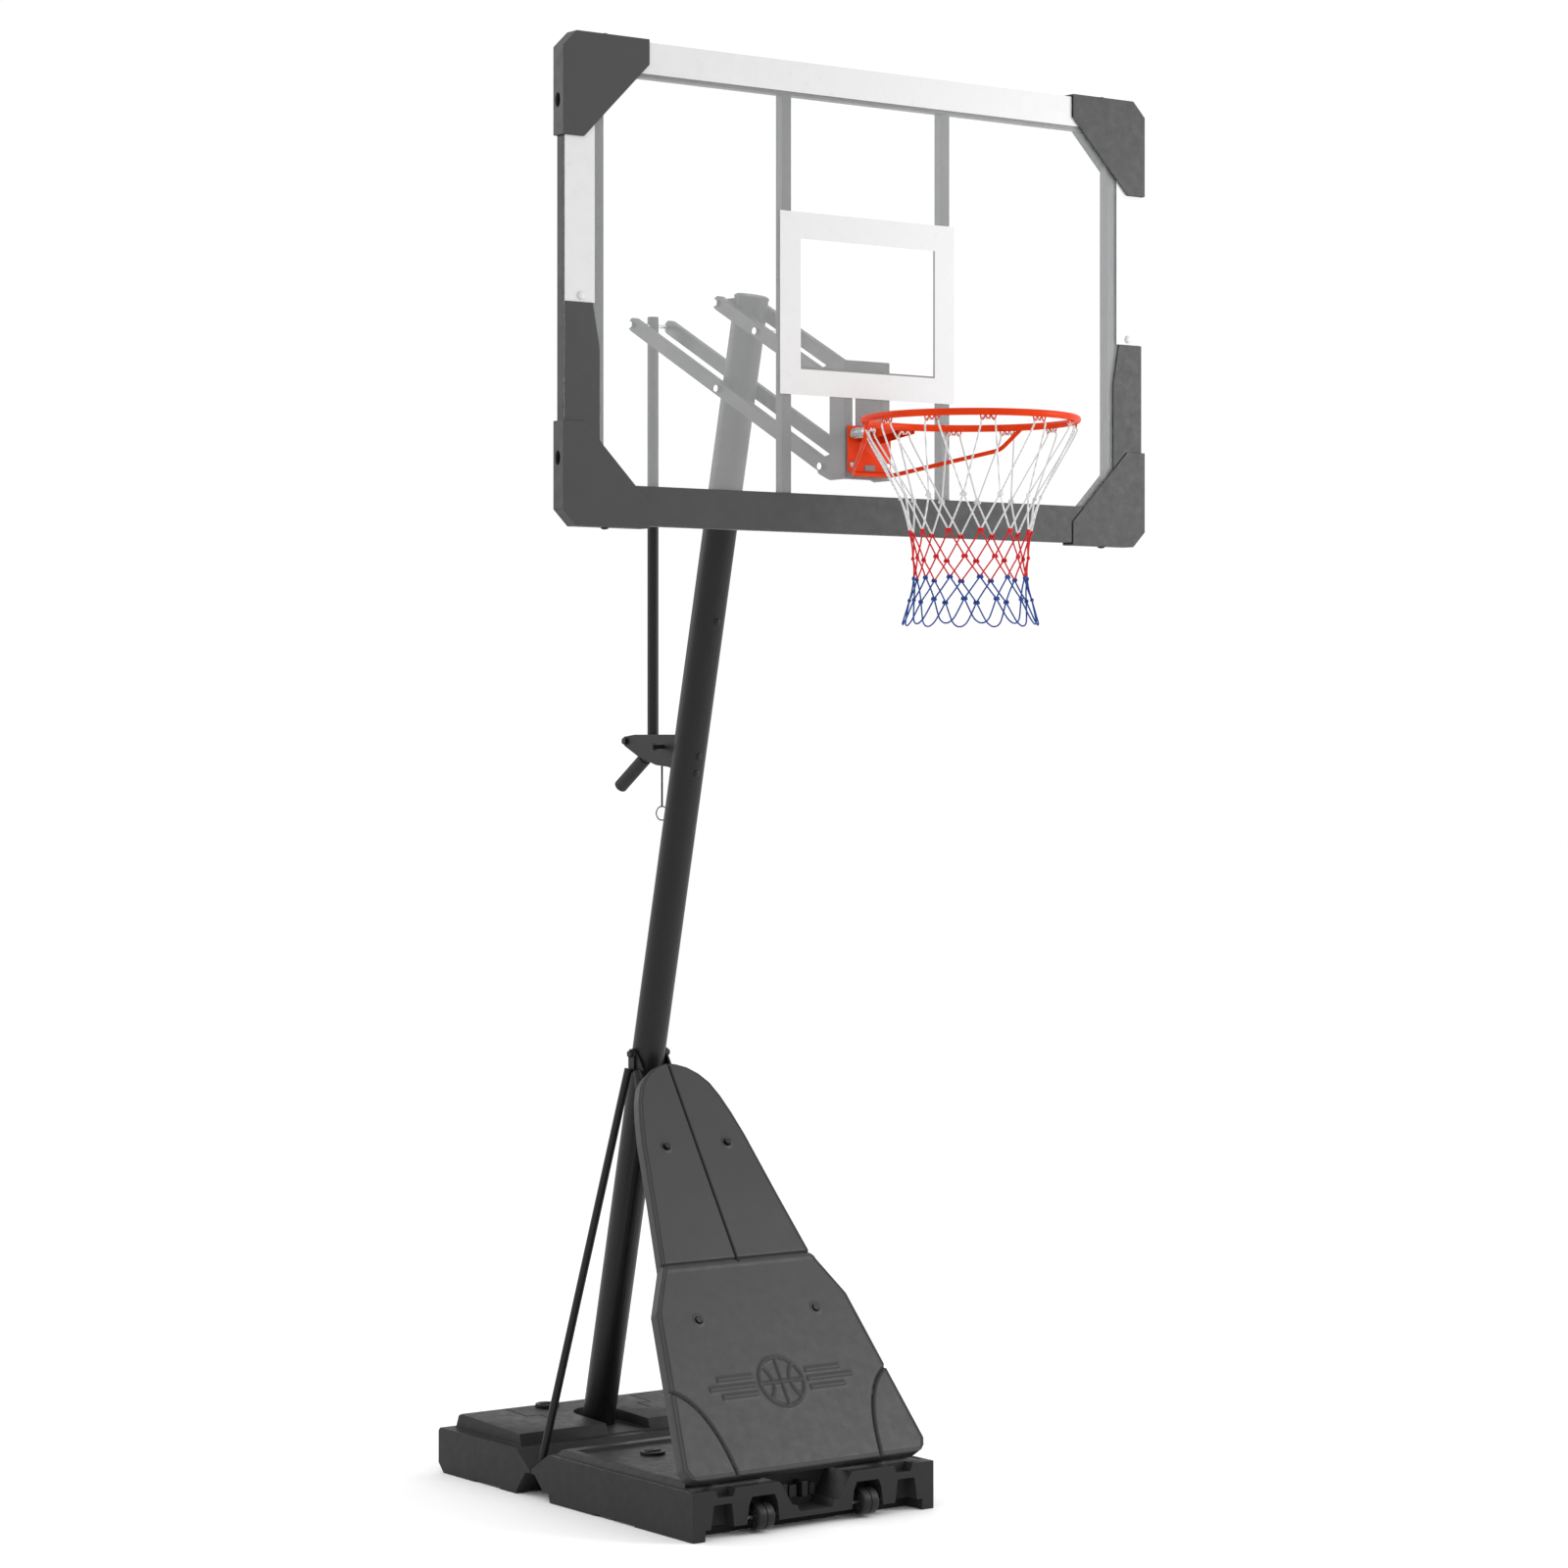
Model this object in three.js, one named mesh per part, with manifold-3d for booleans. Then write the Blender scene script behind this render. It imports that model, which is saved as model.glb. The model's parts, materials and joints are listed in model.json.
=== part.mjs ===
// Portable basketball hoop: a ballast base on two wheels, a leaning three-piece pole, a front shield,
// a parallel-arm lift with an adjusting tube, a clear backboard and a spring-loaded rim with its net.
// Millimetres, +Z up. x is to the player's right, y runs back from the board's front face.
// The player stands on the -y side. The exported group moves the origin to the floor, mid-depth.
import * as THREE from 'three';
import { mergeVertices } from 'three/addons/utils/BufferGeometryUtils.js';
import Module from 'manifold-3d';

const wasm = await Module();
wasm.setup();

const GAP = 0.3;            // clearance between pieces that touch
const BOLT_RADIUS = 5;      // M10 bolts and pins
const HOLE_RADIUS = 5.4;
const HEAD_RADIUS = 9;
const HEAD_HEIGHT = 7;

// backboard
const SHEET_THICKNESS = 4;
const BOARD_HALF = 832;
const BOARD_BOTTOM = 2300;
const BOARD_TOP = 3362;
const FRAME_BACK = 30;
const FRAME_SIDE = 105;     // width of each upright member, seen from the front
const FRAME_TOP = 78;
const FRAME_BOTTOM = 87;
const FRAME_WALL = 1.5;
const POST_INNER = 217;
const POST_WIDTH = 25;
const GUARD_OUTER = 840;
const GUARD_REACH = 228;    // how far a corner guard runs along each edge
const GUARD_END = 56;       // width of a guard where it stops
const GUARD_CHAMFER = 36;
const GUARD_FRONT = -6.5;
const GUARD_SKIN = 3;
const CORNER_CUT = 28;       // takes the board's corners back inside the guards' chamfers
const GUARD_SLOTS = [9, 16];  // half width and half height of the slot in each guard's side
const GUARD_SLOT_Z = { bottom: 2441, top: 3216 };
const PAD_TOP = 2780;
const PAD_SHOULDER = 2683;
const PAD_SIDE = 90;
const PAD_SIDE_TOP = 72;

// rim and net
const RING_RADIUS = 236.5;  // to the middle of the rod: 457 mm inside
const RING_ROD = 8;
const RING_Y = -368;
const RING_Z = 2538;
const PLATE_HALF = 62;
const PLATE_BOTTOM = 2431;
const PLATE_TOP = 2547;
const PLATE_BACK = -0.5;
const PLATE_FRONT = -4.5;
const SPRING_X = 48;
const SPRING_Z = 2529;
const SPRING_FRONT = -55;
const NET_TOP = 2526;
const NET_WALL = 4;

// lifting arms, all at one slope; pivots as [y, z]
const ARM_ANGLE = THREE.MathUtils.degToRad(26.8);
const ARM_LENGTH = 462;     // pole pivot to board pivot
const ARM_TAIL = 405;       // pole pivot to the adjusting tube's bolt
const ARM_HEIGHT = 34;
const ARM_INSIDE = 46;
const ARM_OUTSIDE = 62;
const LOWER_PIVOT = [504, 2667];
const UPPER_PIVOT = [508, 2871];
const CROSS_BOLT_REACH = 178;

// pole: its axis passes through the lower pivot
const POLE_LEAN = 0.2365;   // y lost for each millimetre climbed
const POLE_RADIUS = 41;
const POLE_WALL = 2.5;
const POLE_FOOT = 25;
const POLE_JOINT_LOW = 1000;
const POLE_JOINT_HIGH = 2100;
const POLE_TOP = 2880;
const SPIGOT_LENGTH = 80;

// adjusting tube and its guide
const TUBE_RADIUS = 14;
const TUBE_WALL = 2;
const TUBE_BEND_Z = 1806;
const TUBE_BEND = 30;
const TUBE_HEAD = 22;       // how far the tube goes on above its bolt
const HANDLE_END = [1004, 1716];
const GRIP_RADIUS = 17;
const GRIP_LENGTH = 125;
const GUIDE_INSIDE = 20;
const GUIDE_PLATE = 4;
const GUIDE_BOLT = [950, 1827];   // clears the tube's swing as the arms lift
const LATCH_PIVOT = [788, 1813];
const LATCH_EYE = [810, 1793];
const PULL_LENGTH = 128;
const PULL_RING = 17;

// shield: a flat tray leaning back, described along its own slope
const SHIELD_FOOT = [217, 137];
const SHIELD_SLOPE = new THREE.Vector2(0.6423, 1).normalize();
const SHIELD_DEPTH = 30;
const SHIELD_SKIN = 4;
const SHIELD_BOLTS = [[90, 851], [172, 467]];  // x and height

// base
const BASE_HALF = 351;
const BASE_FRONT = 198;
const BASE_REAR = 1301;
const GROOVE_Y = 879;
const TANK_TOP = 114;         // flat top of the front tank's side walls
const FRONT_DECK_TOP = 126;
const PANEL_FLOOR = 118;      // floor of the panel sunk into the front deck
const SHOULDER = 112;         // top of the rear tank around its deck
const DECK_HALF = 320;
const DECK_FRONT = 980;
const DECK_REAR = 1264;
const DECK_TOP = 136;         // at the front edge
const DECK_RISE = 0.042;      // height gained for each millimetre towards the rear
const SOCKET_ROOM = 62;
const FRONT_CAP = [-150, 650];
const REAR_CAP = [-78, 1222];
const WHEEL = { x: 152, y: 212, z: 39, radius: 31, half: 23 };
const CAP_RADIUS = 30;
const CAP_HEIGHT = 9;
const STAY_BOLT_Z = 1057;
const STRUT_FOOT = [249, 281, 126];

const COLORS = {
  steel: 0x1d1d1f, guard: 0x4a4a4b, tank: 0x303031, shield: 0x4b4b4c, bolt: 0xb9b9ba, cap: 0x1a1a1a,
  rim: 0xf04a12, clear: 0xf2f6f8, net: 0xf2f2f2, grip: 0x161616,
};

// ---------- shapes ----------

function welded(geometry) {
  const bare = geometry.clone();
  bare.deleteAttribute('normal');
  bare.deleteAttribute('uv');
  const merged = mergeVertices(bare, 1e-3);
  const old = merged.index.array;
  const kept = [];
  let volume = 0;
  const [a, b, c] = [new THREE.Vector3(), new THREE.Vector3(), new THREE.Vector3()];
  for (let i = 0; i < old.length; i += 3) {
    const [p, q, r] = [old[i], old[i + 1], old[i + 2]];
    if (p === q || q === r || r === p) continue;
    kept.push(p, q, r);
    a.fromBufferAttribute(merged.attributes.position, p);
    b.fromBufferAttribute(merged.attributes.position, q);
    c.fromBufferAttribute(merged.attributes.position, r);
    volume += a.dot(b.cross(c));
  }
  if (volume < 0) kept.reverse();
  merged.setIndex(kept);
  return merged;
}

function toSolid(geometry) {
  const mesh = welded(geometry);
  return new wasm.Manifold(new wasm.Mesh({
    numProp: 3,
    vertProperties: new Float32Array(mesh.attributes.position.array),
    triVerts: new Uint32Array(mesh.index.array),
  }));
}

function toGeometry(solid) {
  const mesh = solid.getMesh();
  const geometry = new THREE.BufferGeometry();
  geometry.setAttribute('position', new THREE.BufferAttribute(new Float32Array(mesh.vertProperties), 3));
  geometry.setIndex(new THREE.BufferAttribute(new Uint32Array(mesh.triVerts), 1));
  return geometry;
}

function joined(...geometries) {
  return toGeometry(geometries.map(toSolid).reduce((sum, next) => sum.add(next)));
}

function cut(geometry, ...tools) {
  return toGeometry(tools.map(toSolid).reduce((left, tool) => left.subtract(tool), toSolid(geometry)));
}

function box([x0, x1], [y0, y1], [z0, z1]) {
  const geometry = new THREE.BoxGeometry(x1 - x0, y1 - y0, z1 - z0);
  return geometry.translate((x0 + x1) / 2, (y0 + y1) / 2, (z0 + z1) / 2);
}

function outline(points, holes = []) {
  const shape = new THREE.Shape(points.map(([u, v]) => new THREE.Vector2(u, v)));
  for (const [u, v, radius] of holes) shape.holes.push(new THREE.Path(circle(radius, 16, u, v)));
  return shape;
}

function circle(radius, sides, u = 0, v = 0) {
  const turn = (2 * Math.PI) / sides;
  return Array.from({ length: sides }, (_, i) => new THREE.Vector2(
    u + radius * Math.cos(i * turn), v + radius * Math.sin(i * turn)));
}

function extruded(shape, depth) {
  return new THREE.ExtrudeGeometry(shape, { depth, bevelEnabled: false });
}

// outline points are [y, z]; the plate fills x0..x1
function plateAcrossX(points, [x0, x1], holes) {
  const turn = new THREE.Matrix4().set(0, 0, 1, x0, 1, 0, 0, 0, 0, 1, 0, 0, 0, 0, 0, 1);
  return extruded(outline(points, holes), x1 - x0).applyMatrix4(turn);
}

// outline points are [x, z]; the plate fills y0..y1
function plateAcrossY(points, [y0, y1], holes) {
  const turn = new THREE.Matrix4().set(1, 0, 0, 0, 0, 0, -1, y1, 0, 1, 0, 0, 0, 0, 0, 1);
  return extruded(outline(points, holes), y1 - y0).applyMatrix4(turn);
}

function between(geometry, from, to) {
  const start = new THREE.Vector3(...from);
  const along = new THREE.Vector3(...to).sub(start);
  const turn = new THREE.Quaternion().setFromUnitVectors(new THREE.Vector3(0, 1, 0), along.normalize());
  return geometry.applyQuaternion(turn).translate(start.x, start.y, start.z);
}

function distance(from, to) {
  return new THREE.Vector3(...from).distanceTo(new THREE.Vector3(...to));
}

function rod(from, to, radius, sides = 20) {
  const length = distance(from, to);
  const upright = new THREE.CylinderGeometry(radius, radius, length, sides).translate(0, length / 2, 0);
  return between(upright, from, to);
}

// a turned piece: profile points are [radius, height] around the line from..to
function turned(profile, from, to, sides = 32) {
  const points = profile.map(([r, h]) => new THREE.Vector2(r, h));
  return between(new THREE.LatheGeometry(points, sides), from, to);
}

// a line that follows straight runs and rounded corners, with stops only where it bends
class Route extends THREE.Curve {
  constructor(points, bend, stopsPerCorner = 5) {
    super();
    const corners = points.map((p) => new THREE.Vector3(...p));
    this.stops = [];
    for (let i = 0; i < corners.length; i += 1) {
      const here = corners[i];
      if (i === 0 || i === corners.length - 1) {
        const tangent = i === 0 ? corners[1].clone().sub(here) : here.clone().sub(corners[i - 1]);
        this.stops.push({ point: here, tangent: tangent.normalize() });
        continue;
      }
      const start = corners[i - 1].clone().sub(here).setLength(bend).add(here);
      const end = corners[i + 1].clone().sub(here).setLength(bend).add(here);
      const arc = new THREE.QuadraticBezierCurve3(start, here, end);
      for (let k = 0; k <= stopsPerCorner; k += 1) {
        const t = k / stopsPerCorner;
        this.stops.push({ point: arc.getPoint(t), tangent: arc.getTangent(t) });
      }
    }
  }

  stopAt(u) {
    return this.stops[Math.round(u * (this.stops.length - 1))];
  }

  getPointAt(u) {
    return this.stopAt(u).point.clone();
  }

  getTangentAt(u) {
    return this.stopAt(u).tangent.clone();
  }
}

function bentBar(points, radius, bend, sides = 12) {
  const route = new Route(points, bend);
  return new THREE.ExtrudeGeometry(new THREE.Shape(circle(radius, sides)), {
    steps: route.stops.length - 1, extrudePath: route, bevelEnabled: false,
  });
}

// a bolt along x with a head at each end
function crossBolt([y, z], half, radius = BOLT_RADIUS) {
  const head = half + HEAD_HEIGHT;
  return joined(
    rod([-half, y, z], [half, y, z], radius),
    rod([-head, y, z], [-half, y, z], HEAD_RADIUS, 6),
    rod([half, y, z], [head, y, z], HEAD_RADIUS, 6),
  );
}

function mirroredX(geometry) {
  return welded(geometry.clone().scale(-1, 1, 1));
}

// ---------- the assembly ----------

const hoop = new THREE.Group();

function add(name, geometry, color, roughness = 0.55, metalness = 0) {
  const material = new THREE.MeshStandardMaterial({ color, roughness, metalness });
  const mesh = new THREE.Mesh(welded(geometry), material);
  mesh.name = name;
  hoop.add(mesh);
}

function addPair(name, rightGeometry, color, roughness, metalness) {
  add(`${name}_left`, mirroredX(rightGeometry), color, roughness, metalness);
  add(`${name}_right`, rightGeometry, color, roughness, metalness);
}

function poleY(z) {
  return LOWER_PIVOT[0] + (LOWER_PIVOT[1] - z) * POLE_LEAN;
}

function onPole(z) {
  return [0, poleY(z), z];
}

function poleClearance(z0, z1) {
  return rod(onPole(z0), onPole(z1), POLE_RADIUS + GAP, 32);
}

// a point on an arm, measured from a pivot: positive towards the board, negative towards the tail
function alongArm([y, z], reach) {
  return [y - reach * Math.cos(ARM_ANGLE), z - reach * Math.sin(ARM_ANGLE)];
}

const LOWER_BOARD_PIVOT = alongArm(LOWER_PIVOT, ARM_LENGTH);
const UPPER_BOARD_PIVOT = alongArm(UPPER_PIVOT, ARM_LENGTH);
const TAIL_PIVOT = alongArm(LOWER_PIVOT, -ARM_TAIL);
const CROSS_BOLT = alongArm(UPPER_PIVOT, CROSS_BOLT_REACH);

function buildPole() {
  const inner = POLE_RADIUS - POLE_WALL;
  const spigot = inner - GAP;
  const section = (bottom, top, hasSpigot) => {
    const from = onPole(bottom);
    const length = distance(from, onPole(top));
    const bore = spigot - POLE_WALL;
    const tip = length + SPIGOT_LENGTH;
    const neck = hasSpigot
      ? [[spigot, length], [spigot, tip], [bore, tip], [bore, length - 10], [inner, length - 20]]
      : [[inner, length]];
    const profile = [[inner, 0], [POLE_RADIUS, 0], [POLE_RADIUS, length], ...neck, [inner, 0]];
    return turned(profile, from, onPole(top));
  };
  const bore = ([y, z]) => rod([-60, y, z], [60, y, z], HOLE_RADIUS, 16);
  const lower = section(POLE_FOOT, POLE_JOINT_LOW - GAP, true);
  const middle = section(POLE_JOINT_LOW, POLE_JOINT_HIGH - GAP, true);
  const upper = section(POLE_JOINT_HIGH, POLE_TOP, false);
  const stayBore = bore([poleY(STAY_BOLT_Z), STAY_BOLT_Z]);
  add('pole_lower', cut(lower, stayBore), COLORS.steel, 0.45);
  add('pole_middle', cut(middle, stayBore), COLORS.steel, 0.45);
  add('pole_upper', cut(upper, bore(LOWER_PIVOT)), COLORS.steel, 0.45);
  const capBase = onPole(POLE_TOP + GAP);
  const cap = [[0, 0], [POLE_RADIUS + 1, 0], [POLE_RADIUS + 1, 5], [POLE_RADIUS - 6, 9], [0, 9]];
  add('pole_cap', turned(cap, capBase, onPole(POLE_TOP + 10)), COLORS.cap, 0.6);
}

function headBracket() {
  const [y, z] = UPPER_PIVOT;
  const block = box([-ARM_INSIDE + 2, ARM_INSIDE - 2], [y - 40, y + 15], [z - 17, z + 10]);
  const bore = rod([-60, y, z], [60, y, z], HOLE_RADIUS, 16);
  const slot = box([-34, 34], [y - 6, y + 20], [z - 30, z + 20]);
  return cut(block, poleClearance(z - 60, z + 60), bore, slot);
}

function arm(pivot, from, to, bores) {
  const half = ARM_HEIGHT / 2;
  const lean = Math.atan2(Math.sin(ARM_ANGLE), Math.cos(ARM_ANGLE));
  const points = [];
  const roundEnd = ([y, z], start) => {
    for (let i = 0; i <= 6; i += 1) {
      const a = start + (i * Math.PI) / 6;
      points.push([y + half * Math.cos(a), z + half * Math.sin(a)]);
    }
  };
  roundEnd(alongArm(pivot, from), lean - Math.PI / 2);
  roundEnd(alongArm(pivot, to), lean + Math.PI / 2);
  return plateAcrossX(points, [ARM_INSIDE, ARM_OUTSIDE], bores.map(([y, z]) => [y, z, HOLE_RADIUS]));
}

function buildArms() {
  const lower = arm(LOWER_PIVOT, -ARM_TAIL, ARM_LENGTH, [LOWER_PIVOT, TAIL_PIVOT, LOWER_BOARD_PIVOT]);
  const upper = arm(UPPER_PIVOT, 0, ARM_LENGTH, [UPPER_PIVOT, CROSS_BOLT, UPPER_BOARD_PIVOT]);
  addPair('lower_arm', lower, COLORS.steel, 0.45);
  addPair('upper_arm', upper, COLORS.steel, 0.45);
  const besideArm = ARM_OUTSIDE + GAP;
  const besideBracket = ARM_OUTSIDE + GAP + 3 + GAP;
  add('lower_pivot_bolt', crossBolt(LOWER_PIVOT, besideArm), COLORS.bolt, 0.35, 0.8);
  add('upper_pivot_bolt', crossBolt(UPPER_PIVOT, besideArm), COLORS.bolt, 0.35, 0.8);
  add('upper_cross_bolt', crossBolt(CROSS_BOLT, besideArm), COLORS.bolt, 0.35, 0.8);
  add('tail_bolt', crossBolt(TAIL_PIVOT, besideArm), COLORS.bolt, 0.35, 0.8);
  add('lower_board_bolt', crossBolt(LOWER_BOARD_PIVOT, besideBracket), COLORS.bolt, 0.35, 0.8);
  add('upper_board_bolt', crossBolt(UPPER_BOARD_PIVOT, besideBracket), COLORS.bolt, 0.35, 0.8);
}

function buildAdjuster() {
  const [y, z] = TAIL_PIVOT;
  const bend = [0, y, TUBE_BEND_Z];
  const beyond = [0, HANDLE_END[0] + 9, HANDLE_END[1] - 6];
  const outer = bentBar([[0, y, z + TUBE_HEAD], bend, [0, ...HANDLE_END]], TUBE_RADIUS, TUBE_BEND, 16);
  const inner = bentBar([[0, y, z + 2 * TUBE_HEAD], bend, beyond], TUBE_RADIUS - TUBE_WALL, TUBE_BEND, 16);
  add('adjusting_tube', cut(outer, inner, rod([-30, y, z], [30, y, z], HOLE_RADIUS, 16)), COLORS.steel, 0.45);
  const run = new THREE.Vector2(HANDLE_END[0] - y, HANDLE_END[1] - TUBE_BEND_Z).normalize();
  const start = [0, HANDLE_END[0] - run.x * GRIP_LENGTH, HANDLE_END[1] - run.y * GRIP_LENGTH];
  const bore = TUBE_RADIUS + GAP;
  const seat = GRIP_LENGTH + 1;
  const end = GRIP_LENGTH + 6;
  const profile = [[bore, 0], [GRIP_RADIUS - 1, 0], [GRIP_RADIUS, 3], [GRIP_RADIUS, end - 4],
    [GRIP_RADIUS - 4, end], [0, end], [0, seat], [bore, seat], [bore, 0]];
  add('handle_grip', turned(profile, start, [0, ...HANDLE_END], 24), COLORS.grip, 0.8);
}

function buildGuide() {
  const top = 1843;
  const bottom = 1762;
  const [tipY, tipZ] = GUIDE_BOLT;
  const side = [[poleY(top) + 25, top], [tipY - 40, top], [tipY + 8, tipZ + 11], [tipY + 13, tipZ],
    [tipY + 6, tipZ - 12], [tipY - 50, 1790], [820, 1768], [poleY(bottom) + 25, bottom]];
  const outside = GUIDE_INSIDE + GUIDE_PLATE;
  const plate = plateAcrossX(side, [GUIDE_INSIDE, outside]);
  const web = box([-outside, outside], [poleY(top) + 25, poleY(bottom) + 46], [bottom, top]);
  const bore = ([y, z]) => rod([-60, y, z], [60, y, z], HOLE_RADIUS, 16);
  add('guide_bracket', cut(joined(plate, mirroredX(plate), web), poleClearance(bottom - 60, top + 60),
    bore(GUIDE_BOLT), bore(LATCH_PIVOT)), COLORS.steel, 0.45);
  add('guide_bolt', crossBolt(GUIDE_BOLT, outside + GAP), COLORS.cap, 0.5, 0.3);
  const [y, z] = LATCH_PIVOT;
  const shank = rod([-60, y, z], [outside + GAP, y, z], BOLT_RADIUS);
  const knob = rod([-60, y, z], [-46, y, z], HEAD_RADIUS, 12);
  const head = rod([outside + GAP, y, z], [outside + 6, y, z], HEAD_RADIUS, 6);
  add('latch_pin', joined(shank, knob, head), COLORS.cap, 0.5, 0.3);
}

function buildLatch() {
  const [y, z] = LATCH_PIVOT;
  const [eyeY, eyeZ] = LATCH_EYE;
  const x = [-14, -9];
  const eyeBore = 3.2;
  const lever = [[y - 10, z + 10], [y + 10, z + 10], [eyeY + 8, eyeZ + 6], [eyeY + 7, eyeZ - 7],
    [eyeY - 7, eyeZ - 7], [y - 10, z - 8]];
  add('latch_lever', plateAcrossX(lever, x, [[y, z, HOLE_RADIUS], [eyeY, eyeZ, eyeBore]]), COLORS.steel, 0.5);
  const middle = (x[0] + x[1]) / 2;
  const hookHalf = 5.2;
  const wireRadius = 2.4;
  const path = [[-hookHalf, 0], [hookHalf, 0], [hookHalf, -16], [0, -24], [0, -PULL_LENGTH]];
  const hook = bentBar(path.map(([across, up]) => [middle + across, eyeY, eyeZ + up]), wireRadius, 3, 8);
  const ring = new THREE.TorusGeometry(PULL_RING, 1.6, 6, 24).rotateX(Math.PI / 2)
    .translate(middle, eyeY, eyeZ - PULL_LENGTH - PULL_RING + 2);
  add('release_pull', joined(hook, ring), COLORS.steel, 0.4, 0.4);
}

function buildStays() {
  const y = poleY(STAY_BOLT_Z);
  const z = STAY_BOLT_Z;
  const ear = (to, width, x) => {
    const along = new THREE.Vector2(to[0] - y, to[1] - z).normalize().multiplyScalar(width);
    const cross = [-along.y, along.x];
    const aside = ([u, v], amount) => [u + cross[0] * amount, v + cross[1] * amount];
    const tip = [y - along.x, z - along.y];
    const points = [aside(tip, 0.5), aside([y, z], 1), aside(to, 1), aside(to, -1), aside([y, z], -1),
      aside(tip, -0.5)];
    return plateAcrossX(points, x, [[y, z, HOLE_RADIUS + 1]]);
  };
  const stayRod = rod([60, y - 0.3, z - 36], [318, GROOVE_Y, 84], 10);
  const stay = joined(ear([y, z - 46], 12, [47.4, 52.4]), stayRod);
  const strutTop = [y - 30, z - 45];
  const strutRod = rod([54, strutTop[0] + 2, strutTop[1] + 2], STRUT_FOOT, 11);
  const strut = joined(ear(strutTop, 12, [42, 47]), strutRod);
  addPair('stay', stay, COLORS.steel, 0.45);
  addPair('strut', strut, COLORS.steel, 0.45);
  add('stay_bolt', crossBolt([y, z], 52.8), COLORS.cap, 0.5, 0.3);
}

function shieldOutline(inset) {
  const along = (z) => (z - SHIELD_FOOT[1]) / SHIELD_SLOPE.y;
  const shape = new THREE.Shape();
  const right = [[352, 160], [280, 492], [222, 583], [186, 729], [154, 867], [138, 919]];
  const x = (value) => Math.max(value - inset, 0);
  shape.moveTo(0, inset);
  shape.lineTo(x(318), inset);
  shape.quadraticCurveTo(x(348), inset, x(right[0][0]), along(right[0][1]) + inset * 0.3);
  for (const [half, z] of right.slice(1)) shape.lineTo(x(half), along(z));
  shape.quadraticCurveTo(x(118), along(1040) - inset, 0, along(1040) - inset);
  const half = shape.getPoints(6);
  const left = half.slice(1, -1).reverse().map((p) => new THREE.Vector2(-p.x, p.y));
  return new THREE.Shape([...half, ...left]);
}

function buildShield() {
  const normal = new THREE.Vector3(0, -SHIELD_SLOPE.y, SHIELD_SLOPE.x);
  const slope = new THREE.Vector3(0, SHIELD_SLOPE.x, SHIELD_SLOPE.y);
  const place = new THREE.Matrix4().makeBasis(new THREE.Vector3(1, 0, 0), slope, normal)
    .setPosition(0, ...SHIELD_FOOT);
  const body = extruded(shieldOutline(0), SHIELD_DEPTH).translate(0, 0, -SHIELD_DEPTH);
  const hollow = extruded(shieldOutline(SHIELD_SKIN), SHIELD_DEPTH);
  hollow.translate(0, 0, -SHIELD_DEPTH - SHIELD_SKIN);
  const tray = cut(body.applyMatrix4(place), hollow.applyMatrix4(place));
  const holes = [];
  let bolt = 0;
  for (const [x, z] of SHIELD_BOLTS) {
    for (const side of [-1, 1]) {
      const up = (z - SHIELD_FOOT[1]) / SHIELD_SLOPE.y;
      const at = (depth) => new THREE.Vector3(side * x, up, depth).applyMatrix4(place).toArray();
      holes.push(rod(at(-10), at(10), HOLE_RADIUS, 12));
      bolt += 1;
      add(`shield_bolt_${bolt}`, joined(rod(at(-30), at(0), BOLT_RADIUS, 12), rod(at(GAP), at(4), 8, 12),
        rod(at(-0.1), at(GAP + 0.1), BOLT_RADIUS, 12)), COLORS.cap, 0.5, 0.3);
    }
  }
  add('shield', cut(tray, ...holes), COLORS.shield, 0.6);
}

// a slab with sloping sides, from a rectangle at its foot to a smaller one at its head
function taperedSlab([x, yFoot0, yFoot1], inset, [z0, z1]) {
  const corner = Math.SQRT1_2;
  const width = 2 * x;
  const depth = yFoot1 - yFoot0;
  const slab = new THREE.CylinderGeometry(corner, corner, 1, 4).rotateY(Math.PI / 4).rotateX(Math.PI / 2);
  const position = slab.attributes.position;
  for (let i = 0; i < position.count; i += 1) {
    const shrink = position.getZ(i) > 0 ? 2 * inset : 0;
    position.setXY(i, position.getX(i) * (width - shrink), position.getY(i) * (depth - shrink));
  }
  return slab.scale(1, 1, z1 - z0).translate(0, (yFoot0 + yFoot1) / 2, (z0 + z1) / 2);
}

function frontTankCuts() {
  const tools = [box([-316, 316], [180, 262], [-10, 26])];
  const acrossFront = (points, depth) => plateAcrossY(points, [180, depth]);
  const { x, y, z } = WHEEL;
  const wheelArch = acrossFront([[102, -10], [112, 70], [120, 88], [184, 88], [192, 70], [202, -10]], 268);
  const outerArch = acrossFront([[230, -10], [242, 80], [292, 80], [306, -10]], 236);
  const pocket = acrossFront([[222, 140], [238, 96], [280, 96], [298, 140]], 232);
  const strutPocket = box([230, 268], [257, 303], [STRUT_FOOT[2] - 9, 140]);
  const gutter = box([332, 339], [232, 794], [TANK_TOP - 6, TANK_TOP + 10]);
  const axle = rod([x - 52, y, z], [x + 52, y, z], HOLE_RADIUS, 16);
  for (const tool of [wheelArch, outerArch, pocket, strutPocket, gutter, axle]) {
    tools.push(tool, mirroredX(tool));
  }
  const recess = [[-110, 150], [-110, 123], [-66, 54], [66, 54], [110, 123], [110, 150]];
  tools.push(plateAcrossY(recess, [180, 300]));
  tools.push(plateAcrossY([[-54, 56], [-46, 38], [46, 38], [54, 56]], [180, 286]));
  tools.push(taperedSlab([286, 322, 748], -12, [PANEL_FLOOR, FRONT_DECK_TOP + 1]));
  return tools;
}

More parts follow.
